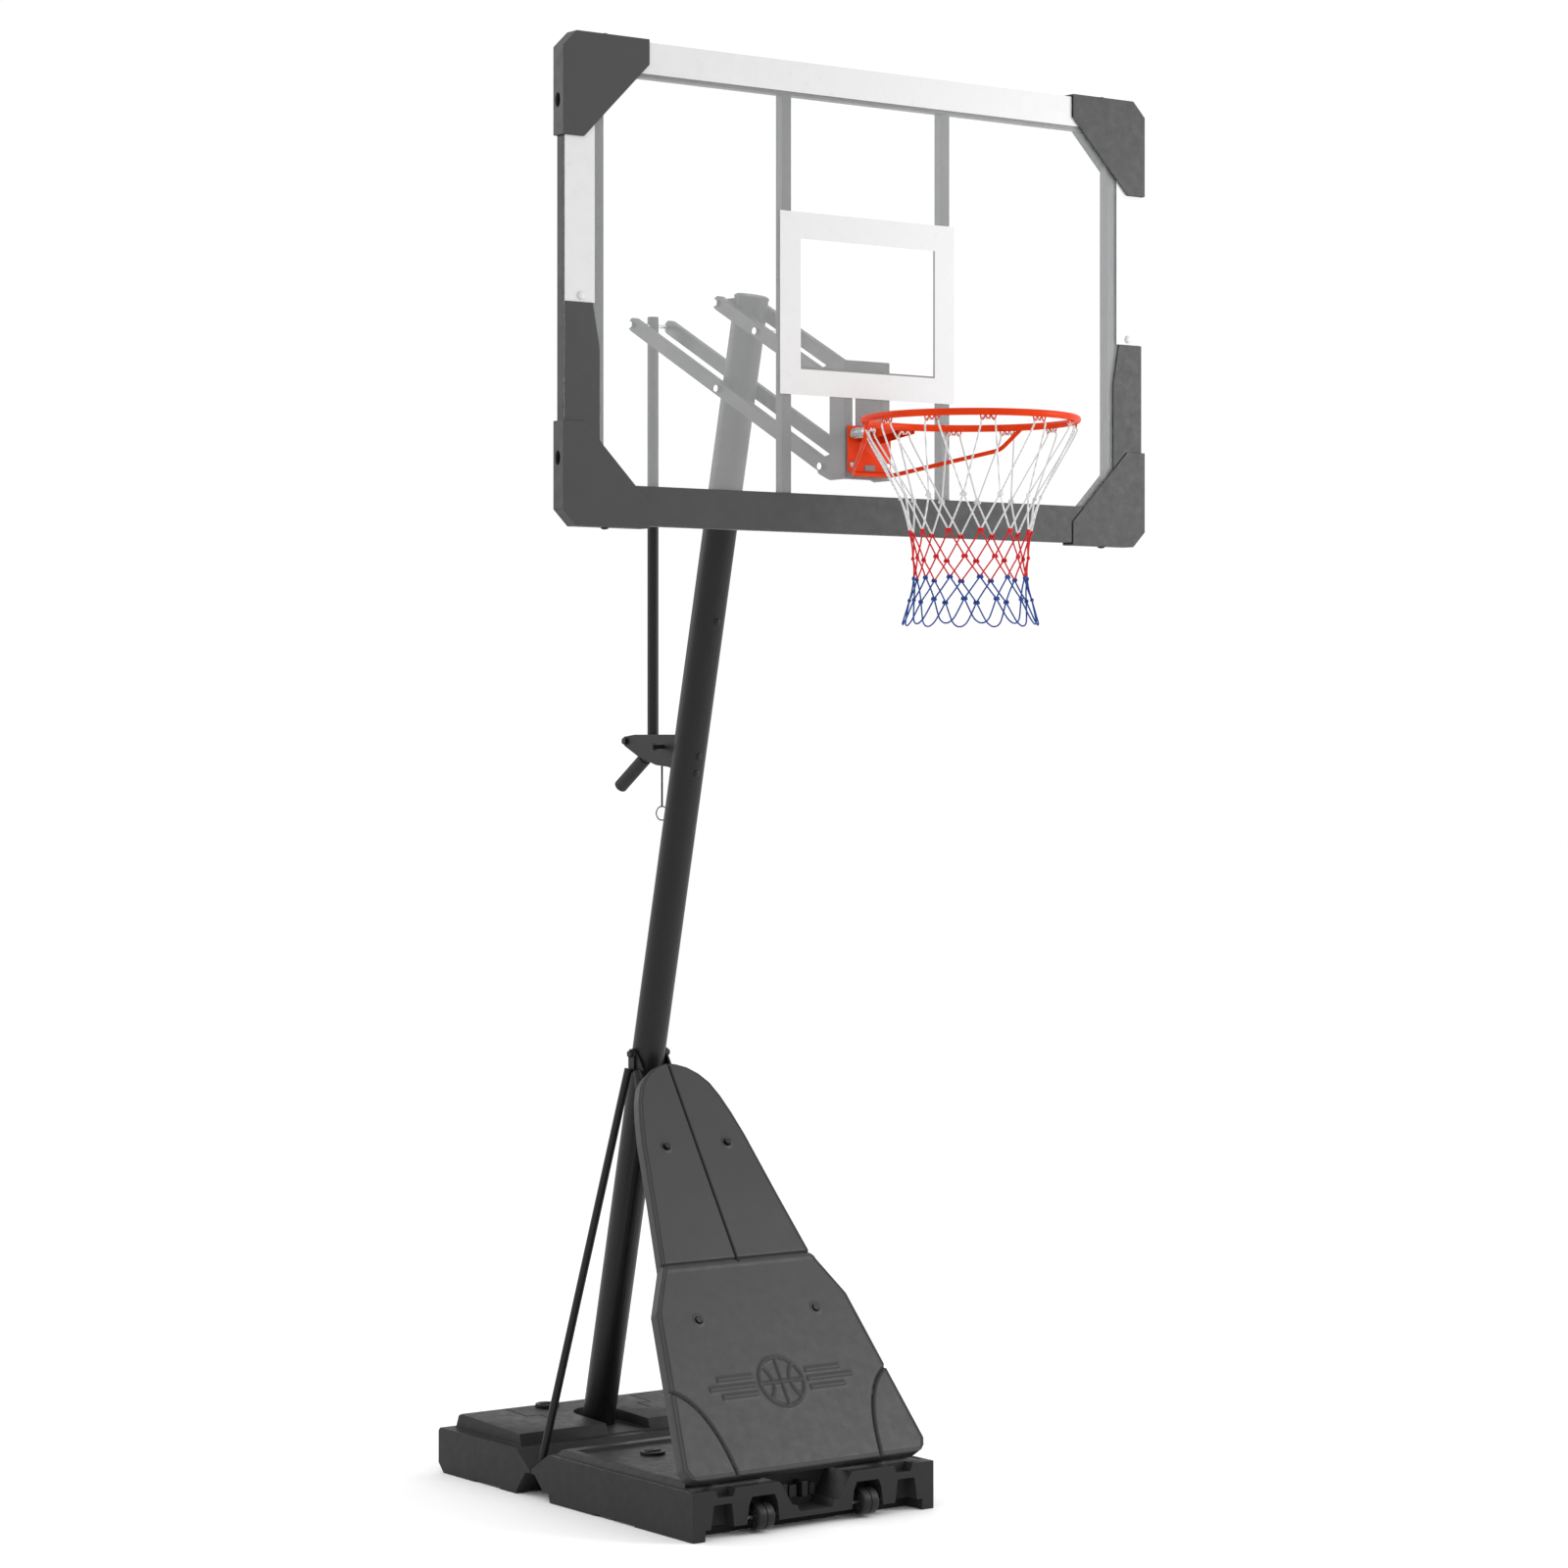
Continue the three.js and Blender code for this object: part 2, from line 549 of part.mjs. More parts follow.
function buildFrontTank() {
  const side = [[BASE_FRONT, 0], [BASE_FRONT, TANK_TOP], [800, TANK_TOP], [808, TANK_TOP - 4],
    [GROOVE_Y - 2, 68], [GROOVE_Y - 2, 58], [862, 58], [822, 21], [800, 21], [794, 0],
    [602, 0], [596, 5], [440, 5], [434, 0]];
  const body = plateAcrossX(side, [-BASE_HALF, BASE_HALF]);
  const deck = taperedSlab([330, 262, 800], 12, [TANK_TOP - 2, FRONT_DECK_TOP]);
  add('base_front_tank', cut(joined(body, deck), ...frontTankCuts()), COLORS.tank, 0.65);
}

function rearDeckTop(y) {
  return DECK_TOP + (y - DECK_FRONT) * DECK_RISE;
}

// shallow grooves in the rear deck, as runs from [x, y] to [x, y]
function deckGrooves() {
  const half = 1.8;
  const deep = 2.5;
  const runs = [[[187, 1238], [187, 1147]], [[187, 1147], [148, 1147]], [[148, 1147], [148, 1092]]];
  return runs.map(([[x0, y0], [x1, y1]]) => {
    const [low, high] = [Math.min(y0, y1) - half, Math.max(y0, y1) + half];
    const above = DECK_TOP + 40;
    const floor = (y) => rearDeckTop(y) - deep;
    const side = [[low, floor(low)], [high, floor(high)], [high, above], [low, above]];
    return plateAcrossX(side, [Math.min(x0, x1) - half, Math.max(x0, x1) + half]);
  });
}

function buildRearTank() {
  const side = [[GROOVE_Y + 2, 58], [GROOVE_Y + 2, 66], [942, SHOULDER - 4], [BASE_REAR - 8, SHOULDER],
    [BASE_REAR, SHOULDER - 8], [BASE_REAR, 24], [BASE_REAR - 24, 0], [1135, 0], [1129, 5], [1021, 5],
    [1015, 0], [944, 0], [938, 12], [900, 58]];
  const body = plateAcrossX(side, [-BASE_HALF, BASE_HALF]);
  const crest = DECK_REAR - 12;
  const slab = [[DECK_FRONT - 15, SHOULDER - 8], [DECK_FRONT, DECK_TOP], [crest, rearDeckTop(crest)],
    [DECK_REAR, rearDeckTop(crest) - 5], [DECK_REAR + 6, SHOULDER - 8]];
  const deck = plateAcrossX(slab, [-DECK_HALF, DECK_HALF]);
  const beside = DECK_HALF + 9;
  const slope = [[DECK_HALF - 10, 170], [DECK_HALF, SHOULDER], [beside, SHOULDER], [beside, 170]];
  const wedge = plateAcrossY(slope, [940, 1290]);
  const footY = poleY(SHOULDER);
  const yard = joined(box([-SOCKET_ROOM, SOCKET_ROOM], [900, footY], [SHOULDER, 190]),
    rod([0, footY, SHOULDER], [0, footY, 190], SOCKET_ROOM, 32));
  const socket = poleClearance(POLE_FOOT - GAP, DECK_TOP + 60);
  const tools = [wedge, mirroredX(wedge), yard, socket];
  for (const groove of deckGrooves()) tools.push(groove, mirroredX(groove));
  add('base_rear_tank', cut(joined(body, deck), ...tools), COLORS.tank, 0.65);
}

function buildFillCaps() {
  const rearZ = rearDeckTop(REAR_CAP[1] + CAP_RADIUS);
  const places = { front: [...FRONT_CAP, PANEL_FLOOR], rear: [...REAR_CAP, rearZ] };
  const profile = [[0, 0], [CAP_RADIUS, 0], [CAP_RADIUS, CAP_HEIGHT - 2], [CAP_RADIUS - 2, CAP_HEIGHT],
    [0, CAP_HEIGHT]];
  for (const [name, [x, y, z]] of Object.entries(places)) {
    add(`${name}_fill_cap`, turned(profile, [x, y, z + GAP], [x, y, z + 10]), COLORS.cap, 0.6);
  }
}

function buildBase() {
  buildFrontTank();
  buildRearTank();
  buildFillCaps();
}

function buildWheels() {
  const { x, y, z, radius, half } = WHEEL;
  const bore = HOLE_RADIUS;
  const width = 2 * half;
  const profile = [[bore, 0], [radius - 6, 0], [radius - 4, 3], [radius, 3], [radius, width - 3],
    [radius - 4, width - 3], [radius - 6, width], [bore, width], [bore, 0]];
  addPair('wheel', turned(profile, [x - half, y, z], [x + half, y, z]), COLORS.cap, 0.7);
  addPair('wheel_axle', rod([x - 50, y, z], [x + 50, y, z], BOLT_RADIUS), COLORS.bolt, 0.4, 0.7);
}

// the board's outline with its corners taken off, as [x, z]
function boardOutline() {
  const [low, high] = [BOARD_BOTTOM + CORNER_CUT, BOARD_TOP - CORNER_CUT];
  const inner = BOARD_HALF - CORNER_CUT;
  return [[-inner, BOARD_BOTTOM], [inner, BOARD_BOTTOM], [BOARD_HALF, low], [BOARD_HALF, high],
    [inner, BOARD_TOP], [-inner, BOARD_TOP], [-BOARD_HALF, high], [-BOARD_HALF, low]];
}

function trimmed(geometry) {
  return toGeometry(toSolid(geometry).intersect(toSolid(plateAcrossY(boardOutline(), [-20, 60]))));
}

function boxTube(x, z, runs) {
  const depth = [SHEET_THICKNESS + GAP, FRAME_BACK];
  const w = FRAME_WALL;
  const inside = runs === 'z'
    ? box([x[0] + w, x[1] - w], [depth[0] + w, depth[1] - w], [z[0] - 1, z[1] + 1])
    : box([x[0] - 1, x[1] + 1], [depth[0] + w, depth[1] - w], [z[0] + w, z[1] - w]);
  return cut(box(x, depth, z), inside);
}

function buildBoard() {
  const springHoles = [[-SPRING_X, SPRING_Z, 6], [SPRING_X, SPRING_Z, 6]];
  add('backboard_sheet', plateAcrossY(boardOutline(), [0, SHEET_THICKNESS], springHoles), COLORS.clear, 0.08);

  const sideInner = BOARD_HALF - FRAME_SIDE;
  const cross = [-sideInner + GAP, sideInner - GAP];
  const postSpan = [BOARD_BOTTOM + FRAME_BOTTOM + GAP, BOARD_TOP - FRAME_TOP - GAP];
  const side = trimmed(boxTube([sideInner, BOARD_HALF], [BOARD_BOTTOM, BOARD_TOP], 'z'));
  addPair('frame', side, COLORS.steel, 0.5);
  add('frame_top', boxTube(cross, [BOARD_TOP - FRAME_TOP, BOARD_TOP], 'x'), COLORS.steel, 0.5);
  add('frame_bottom', boxTube(cross, [BOARD_BOTTOM, BOARD_BOTTOM + FRAME_BOTTOM], 'x'), COLORS.steel, 0.5);
  addPair('frame_post', boxTube([POST_INNER, POST_INNER + POST_WIDTH], postSpan, 'z'), COLORS.steel, 0.5);

  const padInner = BOARD_HALF - PAD_SIDE;
  const padTopInner = BOARD_HALF - PAD_SIDE_TOP;
  const band = BOARD_BOTTOM + FRAME_BOTTOM;
  const right = [[BOARD_HALF, BOARD_BOTTOM], [BOARD_HALF, PAD_TOP], [padTopInner, PAD_TOP],
    [padInner, PAD_SHOULDER], [padInner, band]];
  const left = right.map(([x, z]) => [-x, z]).reverse();
  add('edge_pad', trimmed(plateAcrossY([...right, ...left], [-3.2, -GAP])), COLORS.guard, 0.6);
  buildGuards();
}

function buildGuards() {
  const bottom = BOARD_BOTTOM - 6;
  const top = BOARD_TOP + 6;
  const front = [GUARD_FRONT, FRAME_BACK + GUARD_SKIN];
  const room = boardOutline().map(([x, z]) => [x + Math.sign(x) * GAP, z + Math.sign(z - 2800) * GAP]);
  const pocket = plateAcrossY(room, [-3.5, FRAME_BACK + GAP]);
  const [slotHalf, slotRise] = GUARD_SLOTS;
  for (const [name, edge, up] of [['bottom', bottom, 1], ['top', top, -1]]) {
    const at = (x, z) => [GUARD_OUTER - x, edge + up * z];
    const points = [at(0, GUARD_CHAMFER), at(0, GUARD_REACH), at(GUARD_END, GUARD_REACH),
      at(GUARD_REACH, GUARD_END), at(GUARD_REACH, 0), at(GUARD_CHAMFER, 0)];
    if (up < 0) points.reverse();
    const slotZ = GUARD_SLOT_Z[name];
    const slot = circle(1, 14).map((p) => [FRAME_BACK / 2 + slotHalf * p.x, slotZ + slotRise * p.y]);
    const opening = plateAcrossX(slot, [BOARD_HALF, GUARD_OUTER + 5]);
    addPair(`corner_guard_${name}`, cut(plateAcrossY(points, front), pocket, opening), COLORS.guard, 0.6);
  }
}

function boardBracket() {
  const back = 62;
  const [cy, cz] = LOWER_BOARD_PIVOT;
  const [fy, fz] = UPPER_BOARD_PIVOT;
  const web = [SHEET_THICKNESS + GAP, SHEET_THICKNESS + GAP + 3];
  const foot = 2425;
  const head = fz + 34;
  const side = [[web[0], foot], [back, foot], [cy + 14, cz - 16], [cy + 20, cz], [cy + 12, cz + 18],
    [back, cz + 26], [back, fz - 34], [cy + 14, fz - 16], [fy + 20, fz], [fy + 8, fz + 20],
    [back - 20, head], [web[0], head]];
  const outside = [ARM_OUTSIDE + GAP, ARM_OUTSIDE + GAP + 3];
  const plate = plateAcrossX(side, outside);
  const base = box([-outside[1], outside[1]], web, [foot, head]);
  const slot = box([33, 42], [0, 20], [2448, fz + 10]);
  const bore = ([y, z]) => rod([-90, y, z], [90, y, z], HOLE_RADIUS, 16);
  const bores = [LOWER_BOARD_PIVOT, UPPER_BOARD_PIVOT].map(bore);
  const springHoles = [-SPRING_X, SPRING_X].map((x) => rod([x, -10, SPRING_Z], [x, 30, SPRING_Z], 6, 16));
  return cut(joined(plate, mirroredX(plate), base), slot, mirroredX(slot), ...bores, ...springHoles);
}

function buildRim() {
  const ring = new THREE.TorusGeometry(RING_RADIUS, RING_ROD, 10, 60).translate(0, RING_Y, RING_Z);
  const angle = THREE.MathUtils.degToRad(22);
  const under = [RING_RADIUS * Math.cos(angle), RING_Y + RING_RADIUS * Math.sin(angle), RING_Z - 5];
  const right = [under, [195, -236, 2488], [57, -12, PLATE_BOTTOM + 5]];
  const left = right.map(([x, y, z]) => [-x, y, z]).reverse();
  const brace = bentBar([...right, ...left], 5, 14);
  add('rim_ring', joined(ring, brace), COLORS.rim, 0.35, 0.1);

  const edge = PLATE_BOTTOM + 11;
  const square = [[-PLATE_HALF, edge], [PLATE_HALF, edge], [PLATE_HALF, PLATE_TOP], [-PLATE_HALF, PLATE_TOP]];
  const springRoom = [[-SPRING_X, SPRING_Z, 8.5], [SPRING_X, SPRING_Z, 8.5]];
  const plate = plateAcrossY(square, [PLATE_FRONT, PLATE_BACK], springRoom);
  const neckTop = box([-34, 34], [-128, PLATE_FRONT + 1], [RING_Z - 2, RING_Z + 2]);
  const root = PLATE_FRONT + 1;
  const flange = [[root, RING_Z - 30], [root, RING_Z], [-128, RING_Z], [-128, RING_Z - 14]];
  const gusset = plateAcrossX(flange, [30, 34]);
  const ringRoom = new THREE.TorusGeometry(RING_RADIUS, RING_ROD + GAP, 10, 60).translate(0, RING_Y, RING_Z);
  add('rim_mount', cut(joined(plate, neckTop, gusset, mirroredX(gusset)), ringRoom), COLORS.rim, 0.35, 0.1);

  for (const [name, x] of [['left', -SPRING_X], ['right', SPRING_X]]) {
    const front = SPRING_FRONT - GAP;
    add(`spring_bolt_${name}`, joined(rod([x, front, SPRING_Z], [x, 14, SPRING_Z], BOLT_RADIUS),
      rod([x, front - 7, SPRING_Z], [x, front, SPRING_Z], 13, 16)), COLORS.bolt, 0.35, 0.8);
    const coil = [[HOLE_RADIUS + 1, 0], [12, 0], [12, 50], [HOLE_RADIUS + 1, 50], [HOLE_RADIUS + 1, 0]];
    const spring = turned(coil, [x, PLATE_FRONT - GAP, SPRING_Z], [x, SPRING_FRONT, SPRING_Z], 20);
    add(`rim_spring_${name}`, spring, COLORS.bolt, 0.35, 0.8);
  }

  const middle = [[222, NET_TOP], [183, 2412], [140, 2296], [131, 2230], [130, 2173], [148, 2086]];
  const outer = middle.map(([r, z]) => [r + NET_WALL / 2, z - 2086]);
  const inner = middle.map(([r, z]) => [r - NET_WALL / 2, z - 2086]);
  const profile = [...outer.slice().reverse(), ...inner, outer.at(-1)];
  add('net', turned(profile, [0, RING_Y, 2086], [0, RING_Y, NET_TOP], 36), COLORS.net, 0.9);
}

buildBase();
buildWheels();
buildPole();
add('head_bracket', headBracket(), COLORS.steel, 0.45);
buildGuide();
buildLatch();
buildStays();
buildShield();
buildArms();
buildAdjuster();
buildBoard();
add('board_bracket', boardBracket(), COLORS.steel, 0.5);
buildRim();

const rimFront = RING_Y - RING_RADIUS - RING_ROD;
hoop.position.set(0, -(rimFront + BASE_REAR) / 2, 0);

export default hoop;
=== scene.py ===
"""Portable basketball hoop: the looks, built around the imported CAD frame.

Blender works in metres. Places are written in millimetres (x from the board's middle to the player's right,
y back from the board's front face, z up from the floor), and at() turns them into the frame.
"""
import json
import math

import bmesh
import bpy
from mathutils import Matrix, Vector


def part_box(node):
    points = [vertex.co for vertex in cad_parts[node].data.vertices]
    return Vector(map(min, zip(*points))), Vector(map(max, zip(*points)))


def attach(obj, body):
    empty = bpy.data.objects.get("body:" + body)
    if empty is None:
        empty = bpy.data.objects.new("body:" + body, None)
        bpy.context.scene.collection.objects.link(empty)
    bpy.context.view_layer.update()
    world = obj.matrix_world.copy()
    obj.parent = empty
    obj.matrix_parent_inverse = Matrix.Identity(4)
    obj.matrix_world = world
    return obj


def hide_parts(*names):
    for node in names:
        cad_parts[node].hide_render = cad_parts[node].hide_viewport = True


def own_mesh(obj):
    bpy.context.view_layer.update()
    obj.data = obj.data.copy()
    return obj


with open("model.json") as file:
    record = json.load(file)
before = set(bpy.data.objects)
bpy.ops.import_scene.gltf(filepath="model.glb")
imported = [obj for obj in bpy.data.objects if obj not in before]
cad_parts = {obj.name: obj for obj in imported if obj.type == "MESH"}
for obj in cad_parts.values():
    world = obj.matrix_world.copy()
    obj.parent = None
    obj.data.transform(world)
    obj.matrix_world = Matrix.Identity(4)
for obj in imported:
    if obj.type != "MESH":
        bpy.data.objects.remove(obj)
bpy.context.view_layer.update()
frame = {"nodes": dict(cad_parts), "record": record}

MM = 0.001
FACE_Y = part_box("backboard_sheet")[0].y

# shading and broken edges: angles in degrees, and how close two points of a CAD mesh are one, in metres
SMOOTH_ANGLE = 38
SHIELD_SMOOTH_ANGLE = 50
BEVEL_ANGLE = 35
FLAT_ANGLE = 1
MERGE_DISTANCE = 0.00002

# painted edge highlight: cosines between the true and the rounded normal where it starts and is full, and
# its strength
HIGHLIGHT_START = 0.995
HIGHLIGHT_FULL = 0.85
HIGHLIGHT_STRENGTH = 0.5

# camera: azimuth in degrees from +y towards +x, focal length for the sensor's width, clip end in metres
CAMERA_PLACE = (-5522, -7106, 1834.8)
CAMERA_AZIMUTH = 36.62
CAMERA_LENS = 90.27
CAMERA_SENSOR = 36
CAMERA_SHIFT = -0.0294
CAMERA_CLIP = 200

# stage, in metres; each light has its name, place, target, size and power in watts
FLOOR_REACH = 60
WORLD_STRENGTH = 1.03
LIGHTS = (
    ("key", (3.4, -3.2, 3.0), (0.4, 0, 1.8), (1.6, 2.4), 110),
    ("fill", (-5.5, -5.0, 6.0), (0, 0, 1.6), (3, 3), 18),
    ("rim_light", (-3.5, 5.5, 4.5), (0, 0, 1.6), (3, 4), 115),
)

# rim: the ring's middle, the radius to the middle of its rod, the rod's radius, and y of the plate's front
RING_CENTRE = (0, -368, 2538)
RING_RADIUS = 236.5
RING_ROD = 8
RING_STEPS = 144
PLATE_FRONT = -4.5

# brace under the ring: corners of its right half from the ring to the plate, its rod's radius, and how far
# from a corner its bends start
BRACE_HALF = ((219, -279, 2533), (195, -236, 2488), (57, -12, 2436))
BRACE_ROD = 5
BRACE_BEND = 14

# net hooks: corners of one side from its end to the middle, as (along the ring, up from the ring's middle)
HOOKS = 12
HOOK_HALF = 14
HOOK_ROD = 1.6
HOOK_INSET = 1
HOOK_SIDE = ((HOOK_HALF + 3, -5), (HOOK_HALF + 2, -13), (HOOK_HALF - 3, -17), (6, -8))
HOOK_MIDDLE = (0, -15)

# net: rows of knots as (radius, height), and the loops below the last row, from the side to the middle,
# as (degrees from the loop's middle, radius, height)
KNOT_ROWS = ((156, 2366), (136, 2289), (128, 2232), (127, 2187), (136, 2139))
LOOP_SIDE = ((7.5, 147, 2100), (3.5, 151, 2088))
LOOP_MIDDLE = (0, 151, 2085)

# net cords over a hook, as (share of the hook's half width, down from the ring's middle)
CORD_OVER_HOOK = ((0.2, 17), (0.55, 11), (1.05, 16), (1.2, 30))
CORD_INSET = 2
CORD_BOW = -1.5

# net colours: each row's, and for each colour the cord's radius and the knot's size
NET_WHITE, NET_RED, NET_BLUE = range(3)
NET_COLOURS = ("white", "red", "blue")
ROW_COLOURS = (NET_WHITE, NET_RED, NET_RED, NET_BLUE, NET_BLUE)
CORD_RADII = (2.1, 1.8, 1.8)
KNOT_SIZES = (5.8, 5.4, 5.4)

# knots, as shares of their size: two turns as (lift, length), and the wrap over them
KNOT_HALF = 1.25
KNOT_TURNS = ((-0.3, 1.0), (0.3, 0.85))
KNOT_BULGE = 0.35
KNOT_ROD = 0.46
WRAP_RADIUS = 0.5
WRAP_ROD = 0.28
WRAP_STEPS = 10

# rim springs: y of their ends
SPRING_FRONT = -55
SPRING_BACK = PLATE_FRONT - 0.5
SPRING_TURNS = 8
SPRING_STEPS = 16
SPRING_RADIUS = 10.5
SPRING_WIRE = 1.7

# prints on the sheet: y of their front and back, then x and z
PRINT_Y = (-0.9, -0.1)
BORDER_HALF = 831.5
BORDER_INNER_HALF = 754
BORDER_TOP = 3361.5
BORDER_BAND_FOOT = 3292
BORDER_SIDE_FOOT = 2780.5
BORDER_CUT = 28
TARGET_HALF = 252
TARGET_Z = (2610, 3023)
TARGET_HOLE_HALF = 194
TARGET_HOLE_Z = (2668, 2963)
# width of the painted shadow line inside the target's hole
TARGET_SHADOW_WIDTH = 4

# shield: foot of its front plane as (y, z), its slope as (back, up), and its outline as (z, half width)
SHIELD_FOOT = (217, 137)
SHIELD_SLOPE = Vector((0.6423, 1)).normalized()
SHIELD_HALVES = (
    (137, 318), (141, 334), (150, 345), (165, 352), (492, 280), (583, 222), (729, 186), (867, 154),
    (919, 138), (960, 122), (990, 105), (1012, 82), (1028, 54), (1036, 27), (1039, 8),
)
SHIELD_LOW, SHIELD_HIGH = SHIELD_HALVES[0][0], SHIELD_HALVES[-1][0]
SHIELD_WIDEST = max(half for _, half in SHIELD_HALVES)

# shield's thickness: depth of its edge, its wall, and how far its inner face lies behind the front plane
SHIELD_DEPTH = 30
SHIELD_WALL = 4
SHIELD_INSIDE = 17

# shield's mesh: steps across and upward, closer stops near an edge, and how many points away its outline's
# direction is taken
SHIELD_STEPS = (2.5, 2.6)
OUTLINE_SPAN = 3
EDGE_STOPS = (0, 0.5, 1.2, 2.1, 3.2, 4.5, 6, 7.5, 9, 10.5, 12)

# shield's rounded edge, and the groove inside it; the slants turn x and z distances into insets
EDGE_RADIUS = 6
EDGE_GROOVE_INSET = 8
EDGE_GROOVE_DEPTH = 1.8
EDGE_GROOVE_WIDTH = 1.7
SIDE_SLANT = 0.9
CROWN_SLANT = 2.2
CROWN_MARGIN = 2

# shield's fold: the upper panel steps back over FOLD_RISE, between a ridge and a groove, and has a crease
FOLD_Z = 583
FOLD_MIDDLE_Z = FOLD_Z + 3
FOLD_STEP = 4.5
FOLD_RISE = 7
FOLD_RIDGE_UP = -4
FOLD_RIDGE_HEIGHT = 1.6
FOLD_RIDGE_WIDTH = 3.4
FOLD_GROOVE_UP = 9
FOLD_GROOVE_DEPTH = 5.5
FOLD_GROOVE_WIDTH = 2.4
CREASE_DEPTH = 7.5
CREASE_WIDTH = 2.5

# shield's screws as (x, z), with their dimples and raised lips
SHIELD_SCREWS = ((90, 851), (172, 467))
DIMPLE_DEPTH = 10
DIMPLE_RADIUS = 7.5
LIP_HEIGHT = 1.6
LIP_RADIUS = 12
LIP_WIDTH = 2.5

# grooves across the shield's lower corners: a quadratic curve's (x, z), and where it has faded out
ARC_CONTROLS = ((330, 330), (222, 300), (208, 120))
ARC_STEPS = 14
ARC_TOP = 345
ARC_DEPTH = 8
ARC_WIDTH = 2.9

# ball on the shield: its seams are lines; the side seams' centre and radius are shares of the ball's radius
BALL_Z = 318
BALL_RADIUS = 62
BALL_MARGIN = 12
BALL_RELIEF = 4.2
SEAM_WIDTH = 3.2
SIDE_SEAM_CENTRE = 1.25
SIDE_SEAM_RADIUS = 0.85

# bars beside the ball, as (height from its middle, reach past its side)
BARS = ((-22, 118), (0, 146), (22, 118))
BAR_GAP = 14
BAR_WIDTH = 5
BAR_RELIEF = 3.6

# small fittings: places, then (radius, height) of the heads
SCREW_CAP_X, SCREW_CAP_Z = 790, 2794
SCREW_CAP_HEAD = (9, 6)
EDGE_BOLT_X, EDGE_BOLT_Y = 718, 14
EDGE_BOLT_LOW, EDGE_BOLT_HIGH = 2294.2, 3367.8
EDGE_BOLT_HEAD = (9, 5)
PLATE_BOLT_X, PLATE_BOLT_Z = 50, 2458
SMALL_HEAD = (8, 5)
HEAD_SIDES = 28
HEAD_STEPS = 6
HEAD_SKIRT = 0.25
TAG_HALF = 14.5
TAG_Z = (2445, 2458)
TAG_THICKNESS = 1.5
TAG_GAP = 0.1

# pole: a point on its axis as (y, z), its lean, the bolts' heights, and their heads' distance from the axis
POLE_POINT = (504, 2667)
POLE_SLOPE = 0.2365
POLE_BOLTS = (2124, 1799, 1758)
POLE_BOLT_OUT = 40.6

# ribs in the front tank's hand recess, as (middle x, half width, top z, front y)
RECESS_RIBS = ((-44, 9, 92, 262), (-14, 11, 86, 270), (16, 9, 92, 262), (46, 8, 84, 274))
RECESS_FLOOR = 56
RECESS_BACK = 299

# wheels: section from the side face to the tread as (depth under the tread, distance from the face),
# and the seam round the middle as (depth under the tread, distance from the middle)
WHEEL_BORE = 5.6
WHEEL_SIDE = ((9, 0), (8, 2), (6, 2), (5, 0), (2.2, 0.6), (0.6, 2.4), (0, 5))
WHEEL_SEAM = ((0, 1.6), (2.2, 0.8))
WHEEL_SIDES = 64
SPOKES = 6
SPOKE_START = 8
SPOKE_ROD = 1.6
SPOKE_OUT = 0.4

# fill caps: section of the shell above its skirt as (in from the skirt, down from the top), and the bar
CAP_TEETH = 36
CAP_TOOTH_STEPS = 4
CAP_NOTCH = 0.9
CAP_SECTION = ((0, 3.4), (1.6, 2), (6, 2), (7, 3.4))
CAP_BAR_HALF = 3.5
CAP_BAR_GAP = 9.5
CAP_BAR_HEIGHT = 4

# width of the broken edges in metres, and the CAD nodes that get them
REFINED = {
    0.0012: ("head_bracket", "guide_bracket", "board_bracket", "lower_arm_left", "lower_arm_right",
             "upper_arm_left", "upper_arm_right", "frame_left", "frame_right", "frame_top", "frame_bottom",
             "frame_post_left", "frame_post_right", "rim_mount", "latch_lever", "edge_pad"),
    0.0015: ("corner_guard_bottom_left", "corner_guard_bottom_right", "corner_guard_top_left",
             "corner_guard_top_right", "base_front_tank", "base_rear_tank"),
    0.0009: ("lower_pivot_bolt", "upper_pivot_bolt", "upper_cross_bolt", "tail_bolt", "lower_board_bolt",
             "upper_board_bolt", "guide_bolt", "stay_bolt"),
}


def at(x, y, z):
    return Vector((x * MM, y * MM + FACE_Y, z * MM))


# ---------- materials ----------

def new_material(name):
    material = bpy.data.materials.new(name)
    material.use_nodes = True
    tree = material.node_tree
    return material, tree, tree.nodes["Principled BSDF"]


def object_noise(tree, scale, detail=4.0, roughness=0.6):
    coords = tree.nodes.new("ShaderNodeTexCoord")
    noise = tree.nodes.new("ShaderNodeTexNoise")
    noise.inputs["Scale"].default_value = scale
    noise.inputs["Detail"].default_value = detail
    noise.inputs["Roughness"].default_value = roughness
    tree.links.new(coords.outputs["Object"], noise.inputs["Vector"])
    return noise.outputs["Fac"]


def spread(tree, value, low, high):
    """Stretches the middle of a noise texture's values, where most of them lie, to low..high."""
    mapping = tree.nodes.new("ShaderNodeMapRange")
    mapping.inputs["From Min"].default_value = 0.3
    mapping.inputs["From Max"].default_value = 0.7
    mapping.inputs["To Min"].default_value = low
    mapping.inputs["To Max"].default_value = high
    tree.links.new(value, mapping.inputs["Value"])
    return mapping.outputs["Result"]


def colour_between(tree, value, first, second):
    mix = tree.nodes.new("ShaderNodeMix")
    mix.data_type = "RGBA"
    mix.inputs["A"].default_value = (*first, 1)
    mix.inputs["B"].default_value = (*second, 1)
    tree.links.new(spread(tree, value, 0, 1), mix.inputs["Factor"])
    return mix.outputs["Result"]


def bump(tree, shader, height, strength, distance):
    node = tree.nodes.new("ShaderNodeBump")
    node.inputs["Strength"].default_value = strength
    node.inputs["Distance"].default_value = distance
    tree.links.new(height, node.inputs["Height"])
    tree.links.new(node.outputs["Normal"], shader.inputs["Normal"])


